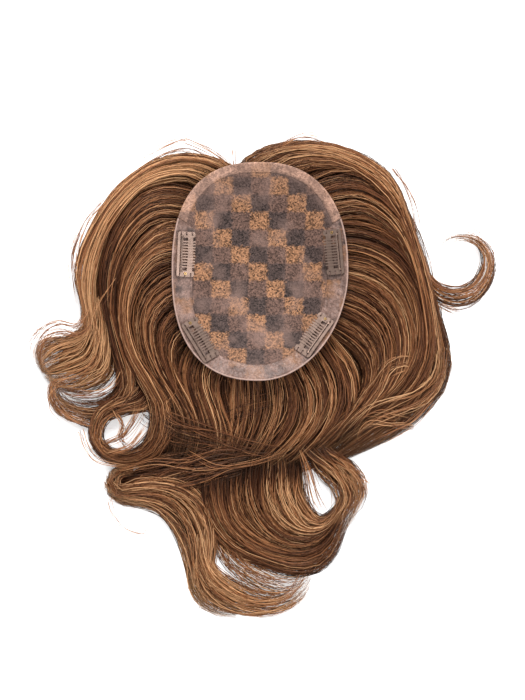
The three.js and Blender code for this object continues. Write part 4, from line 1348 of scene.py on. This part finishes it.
def build_strays(settings, material):
    """Loose single hairs that stand off from the mass."""
    n = STRAY_PLACES
    paths = []
    for hairs, route in STRAYS:
        places = smooth_rows(route, n)
        for _ in range(hairs):
            drift = rng.normal(0, 1.3, (2, 1)) * np.linspace(0, 1, n) + rng.normal(0, 0.8, (2, 1))
            x, y = hair_place(places[:, 0] + drift[0], places[:, 1] + drift[1])
            top = np.interp(places[:, 1], TOP_ALONG, TOP_HEIGHT)
            height = top * rng.uniform(0.5, 1.06) * np.sin(np.linspace(0.6, 2.6, n)) ** 0.5
            z = under_panel(x, y, height, 1 * MM)
            paths.append(np.stack([x, y, z], 1))
    paths = np.array(paths)
    count = len(paths)
    size = settings.strand_width / 2 * rng.uniform(0.7, 1.1, count)[:, None]
    tint = rng.uniform(0.25, 0.8, count)[:, None] + np.zeros((1, n))
    shade = np.ones((count, n))
    side = rng.uniform(-1, 1, count)
    strands_object("hair_strays", paths, size * taper(n, 0.3), tint, shade, side, material)


def disc_places(steps, shares):
    """Bearings, and places from the panel's middle, of rings at shares of the way to its rim."""
    bearing = np.arange(steps) / steps * FULL_TURN
    radius = shares[:, None] * rim_radius(bearing)[None]
    return bearing, radius * np.cos(bearing), radius * np.sin(bearing)


def build_crown(material):
    """The hair mass under the panel, a closed form from the floor to the panel's lower side."""
    rings = 10
    bearing, x, y = disc_places(72, np.linspace(0.02, CROWN_SHARE, rings))
    over = np.stack([x + PANEL_X, y + PANEL_Y, bowl_height(x, y) - 0.4 * MM], 2)
    under = np.stack([x + PANEL_X, y + PANEL_Y, np.full_like(x, 0.3 * MM)], 2)
    vertices, *faces = closed_rings(over, under)
    flow = np.stack([np.tile(bearing * 0.06, 2 * rings), vertices[:, 2] * 3], 1)
    # Dark with the inner hair's painted shade.
    piece = hair_mass("hair_crown_mass", vertices, faces, flow, material)
    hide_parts("hair_crown")


class HAIRPIECE_OT_hair(bpy.types.Operator):
    """Build every stream of long hair from its table of sections"""

    bl_idname = "hairpiece.hair"
    bl_label = "Hair"

    def execute(self, context):
        settings = context.scene.hairpiece_hair
        streaks = streak_group()
        material = hair_material(settings, streaks)
        inner = inner_hair_material(settings, streaks)
        for stream in STREAMS:
            build_stream(stream, settings, material, inner)
        build_strays(settings, material)
        build_crown(inner)
        return {"FINISHED"}


# Panel, band, hem and clips

def closed_rings(over, under):
    """A closed disc from rings of its upper and lower side, each array (ring, bearing, xyz)."""
    rings, steps, _ = over.shape
    below = rings * steps
    vertices = np.concatenate([over.reshape(-1, 3), under.reshape(-1, 3)])
    index, quads = ring_quads(rings, steps)
    top = turned(quads)
    rim, following = index[-1], np.roll(index[-1], -1)
    wall = np.stack([rim, rim + below, following + below, following], 1)
    fan = np.stack([np.full(steps - 2, index[0, 0]), index[0, 1:-1], index[0, 2:]], 1)
    quads = np.concatenate([top, top[:, ::-1] + below, wall])
    return vertices, quads, np.concatenate([fan, fan[:, ::-1] + below])


def panel_object(material):
    """The knotted lace panel as a fine closed shell."""
    steps = 120
    share = np.linspace(0.02, 1, 30)
    _, x, y = disc_places(steps, share)
    low = bowl_height(x, y)
    over = np.stack([x + PANEL_X, y + PANEL_Y, low + PANEL_WALL], 2)
    under = np.stack([x + PANEL_X, y + PANEL_Y, low], 2)
    piece = new_mesh_object("lace_panel", *closed_rings(over, under))
    add_values(piece, "rim", np.tile(np.repeat(share, steps), 2))
    piece.data.materials.append(material)
    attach(piece, "root")
    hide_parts("base_mesh")
    return piece


def rim_strip(name, ends, steps, width_at, section, material):
    """A strip along the rim between two bearings in degrees, with the section's closed outline."""
    bearing = np.radians(np.linspace(*ends, steps))
    outer = rim_radius(bearing) - 0.1 * MM
    width = width_at(bearing)
    from_end = np.minimum(np.arange(steps), np.arange(steps)[::-1])
    thin = np.interp(from_end, (0, 5), (0.45, 1))
    rows = []
    for share, offset, rise in section:
        radius = outer - share * width - offset * MM
        x = radius * np.cos(bearing)
        y = radius * np.sin(bearing)
        z = bowl_height(x, y) + PANEL_WALL + rise * thin * MM
        rows.append(np.stack([x + PANEL_X, y + PANEL_Y, z], 1))
    rings = np.stack(rows, 1)
    places = len(section)
    index, quads = ring_quads(steps, places)
    k = np.arange(1, places - 1)
    first = index[0][np.stack([0 * k, k + 1, k], 1)]
    last = index[-1][np.stack([0 * k, k, k + 1], 1)]
    piece = new_mesh_object(name, rings.reshape(-1, 3), quads, np.concatenate([first, last]))
    across = np.array([share + offset * MM / STRIP_WIDTH for share, offset, _ in section])
    add_values(piece, "inset", np.tile(np.clip(across, 0, 1), steps))
    add_values(piece, "travel", np.repeat(bearing, places) * RIM_RADIUS)
    piece.data.materials.append(material)
    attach(piece, "root")
    return piece


def band_width(bearing):
    """The band's width, which is less at the back."""
    backward = np.clip(-np.sin(bearing), 0, 1) ** 2
    return BAND_SIDE_WIDTH + (BAND_BACK_WIDTH - BAND_SIDE_WIDTH) * backward


class HAIRPIECE_OT_panel(bpy.types.Operator):
    """Build the lace panel with the skin band and the folded lace hem round it"""

    bl_idname = "hairpiece.panel"
    bl_label = "Panel"

    def execute(self, context):
        settings = context.scene.hairpiece_panel
        check = check_group(settings)
        speckle = speckle_group()
        panel = panel_object(lace_material(settings, check, speckle))
        band = rim_strip(
            "skin_edge_band", BAND_ENDS, 200, band_width, BAND_SECTION,
            skin_material(settings, check, speckle),
        )
        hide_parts("edge_band")
        hem = rim_strip(
            "folded_lace_hem", HEM_ENDS, 110, lambda bearing: HEM_WIDTH + 0 * bearing, HEM_SECTION,
            hem_material(settings, check, speckle),
        )
        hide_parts("front_hem")
        return {"FINISHED"}


def unit(vector):
    return vector / np.linalg.norm(vector)


def clip_seats():
    """Each clip's middle and its axes: along the clip, out to the rim and away from the band."""
    seats = []
    for joint in frame["record"]["behaviour"]["joints"]:
        pin = np.array(joint["pos_m"])
        lengthwise = unit(-np.array(joint["axis"]))
        middle = pin.copy()
        for _ in range(4):
            x = middle[0] - PANEL_X
            y = middle[1] - PANEL_Y
            slope_x = (bowl_height(x + MM, y) - bowl_height(x - MM, y)) / (2 * MM)
            slope_y = (bowl_height(x, y + MM) - bowl_height(x, y - MM)) / (2 * MM)
            normal = unit(np.array([-slope_x, -slope_y, 1]))
            outward = unit(np.cross(normal, lengthwise))
            middle = pin - outward * CLIP_PIN_Y - normal * CLIP_PIN_Z
        seats.append((middle, lengthwise, outward, normal))
    return seats


def thread_skin(path, normal):
    """The corners round a thread, one ring for each place on its path."""
    tangent = np.gradient(path, axis=0)
    tangent /= np.linalg.norm(tangent, axis=1, keepdims=True)
    across = np.cross(tangent, normal)
    across /= np.linalg.norm(across, axis=1, keepdims=True) + 1e-9
    up = np.cross(across, tangent)
    turns = [FULL_TURN * k / THREAD_SIDES for k in range(THREAD_SIDES)]
    ring = [path + THREAD_RADIUS * (math.cos(a) * across + math.sin(a) * up) for a in turns]
    return np.stack(ring, 1).reshape(-1, 3)


def thread_loops(material):
    """The sewing thread through the holes of each clip's end tabs."""
    angle = np.linspace(0.15, math.pi - 0.1, THREAD_PLACES)
    travelled = (1 - np.cos(angle)) / 2
    run = travelled * (CLIP_TAB / 2 + 0.5 * MM)
    lift = np.sin(angle) * 1.0 * MM + 0.35 * MM - travelled * 0.5 * MM
    skins = []
    for middle, lengthwise, outward, normal in clip_seats():
        for end in (-1, 1):
            tab = middle + lengthwise * end * (CLIP_LENGTH / 2 - CLIP_TAB / 2)
            for spot in (-1, 0, 1):
                hole = tab + outward * spot * HOLE_SPACING
                skew = rng.normal(0, 0.35) * MM
                for shift in (-0.17 * MM, 0.17 * MM):
                    side = shift + skew * travelled
                    path = (
                        hole + (lengthwise * end)[None] * run[:, None]
                        + outward[None] * side[:, None] + normal[None] * lift[:, None]
                    )
                    skins.append(thread_skin(path, normal))
    _, quads = ring_quads(THREAD_PLACES, THREAD_SIDES)
    quads = np.concatenate([quads + k * len(skin) for k, skin in enumerate(skins)])
    piece = new_mesh_object("clip_stitches", np.concatenate(skins), quads)
    piece.data.materials.append(material)
    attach(piece, "root")


class HAIRPIECE_OT_clips(bpy.types.Operator):
    """Give the snap clips their metals and sew them down"""

    bl_idname = "hairpiece.clips"
    bl_label = "Clips"

    def execute(self, context):
        settings = context.scene.hairpiece_clips
        steel = metal_material("coated spring steel", settings.steel, 0.85, 0.28)
        brass = metal_material("polished brass", settings.brass, 1.0, 0.25)
        for name, held in frame["nodes"].items():
            if name.startswith("clip_"):
                metal = brass if name.endswith("_eyelet") else steel
                for slot in held.material_slots:
                    slot.material = metal
        thread_loops(thread_material(settings))
        return {"FINISHED"}


class HAIRPIECE_OT_stage(bpy.types.Operator):
    """Lay the floor, hang the soft lights and set the camera straight above"""

    bl_idname = "hairpiece.stage"
    bl_label = "Stage"

    def execute(self, context):
        settings = context.scene.hairpiece_stage
        scene = context.scene
        bpy.ops.mesh.primitive_plane_add(size=12, location=(0, 0, -0.0002))
        floor = context.object
        floor.name = "studio_floor"
        material, tree, shader = new_material("pale studio floor")
        fill(
            tree, shader, Base_Color=(*settings.floor, 1), Roughness=0.9, Specular_IOR_Level=0.1,
            Emission_Color=(1, 1, 1, 1), Emission_Strength=0.42,
        )
        floor.data.materials.append(material)

        world = bpy.data.worlds.new("soft studio")
        scene.world = world
        world.use_nodes = True
        sky = world.node_tree.nodes["Background"]
        fill(world.node_tree, sky, Color=(1, 1, 1, 1), Strength=0.5)

        lights = (
            ("key_softbox", (-0.12, 1.15, 1.1), 0.85, settings.key_power),
            ("fill_softbox", (1.0, -0.6, 1.1), 1.2, settings.key_power * 0.5),
        )
        for name, place, size, power in lights:
            light = bpy.data.lights.new(name, "AREA")
            light.energy = power
            light.size = size
            holder = bpy.data.objects.new(name, light)
            holder.location = place
            aim = -Vector(place)
            holder.rotation_euler = aim.to_track_quat("-Z", "Y").to_euler()
            scene.collection.objects.link(holder)

        camera = bpy.data.cameras.new("camera")
        camera.sensor_width = 36
        view_height = VIEW_PIXELS[1] * PIXEL
        camera.lens = camera.sensor_width * settings.distance / view_height
        holder = bpy.data.objects.new("camera", camera)
        shift_x = (VIEW_MIDDLE_PIXEL[0] - HAIR_MIDDLE_PIXEL[0]) * PIXEL
        shift_y = (HAIR_MIDDLE_PIXEL[1] - VIEW_MIDDLE_PIXEL[1]) * PIXEL
        middle_y = PANEL_Y - HAIR_SETBACK
        holder.location = (PANEL_X + shift_x, middle_y + shift_y, settings.distance + RIM_TOP / 2)
        scene.collection.objects.link(holder)
        scene.camera = holder
        scene.view_settings.view_transform = "Standard"
        return {"FINISHED"}


class HAIRPIECE_PT_sidebar(bpy.types.Panel):
    """The hairpiece's settings and its operators in the sidebar."""

    bl_idname = "HAIRPIECE_PT_sidebar"
    bl_label = "Hairpiece"
    bl_space_type = "VIEW_3D"
    bl_region_type = "UI"
    bl_category = "Hairpiece"

    def draw(self, context):
        layout = self.layout
        scene = context.scene
        for settings in (getattr(scene, key) for key in SETTINGS):
            box = layout.box()
            for key in settings.__annotations__:
                box.prop(settings, key)
        for operator in OPERATORS:
            layout.operator(operator.bl_idname)


SETTINGS = {
    "hairpiece_stage": StageSettings,
    "hairpiece_panel": PanelSettings,
    "hairpiece_clips": ClipSettings,
    "hairpiece_hair": HairSettings,
}
OPERATORS = (HAIRPIECE_OT_stage, HAIRPIECE_OT_panel, HAIRPIECE_OT_clips, HAIRPIECE_OT_hair)
CLASSES = (*SETTINGS.values(), *OPERATORS, HAIRPIECE_PT_sidebar)


def register():
    for cls in CLASSES:
        bpy.utils.register_class(cls)
    for key, cls in SETTINGS.items():
        setattr(bpy.types.Scene, key, PointerProperty(type=cls))


def unregister():
    for key in SETTINGS:
        delattr(bpy.types.Scene, key)
    for cls in reversed(CLASSES):
        bpy.utils.unregister_class(cls)


def main():
    register()
    bpy.ops.hairpiece.stage()
    bpy.ops.hairpiece.panel()
    bpy.ops.hairpiece.clips()
    bpy.ops.hairpiece.hair()


if __name__ == "__main__":
    main()
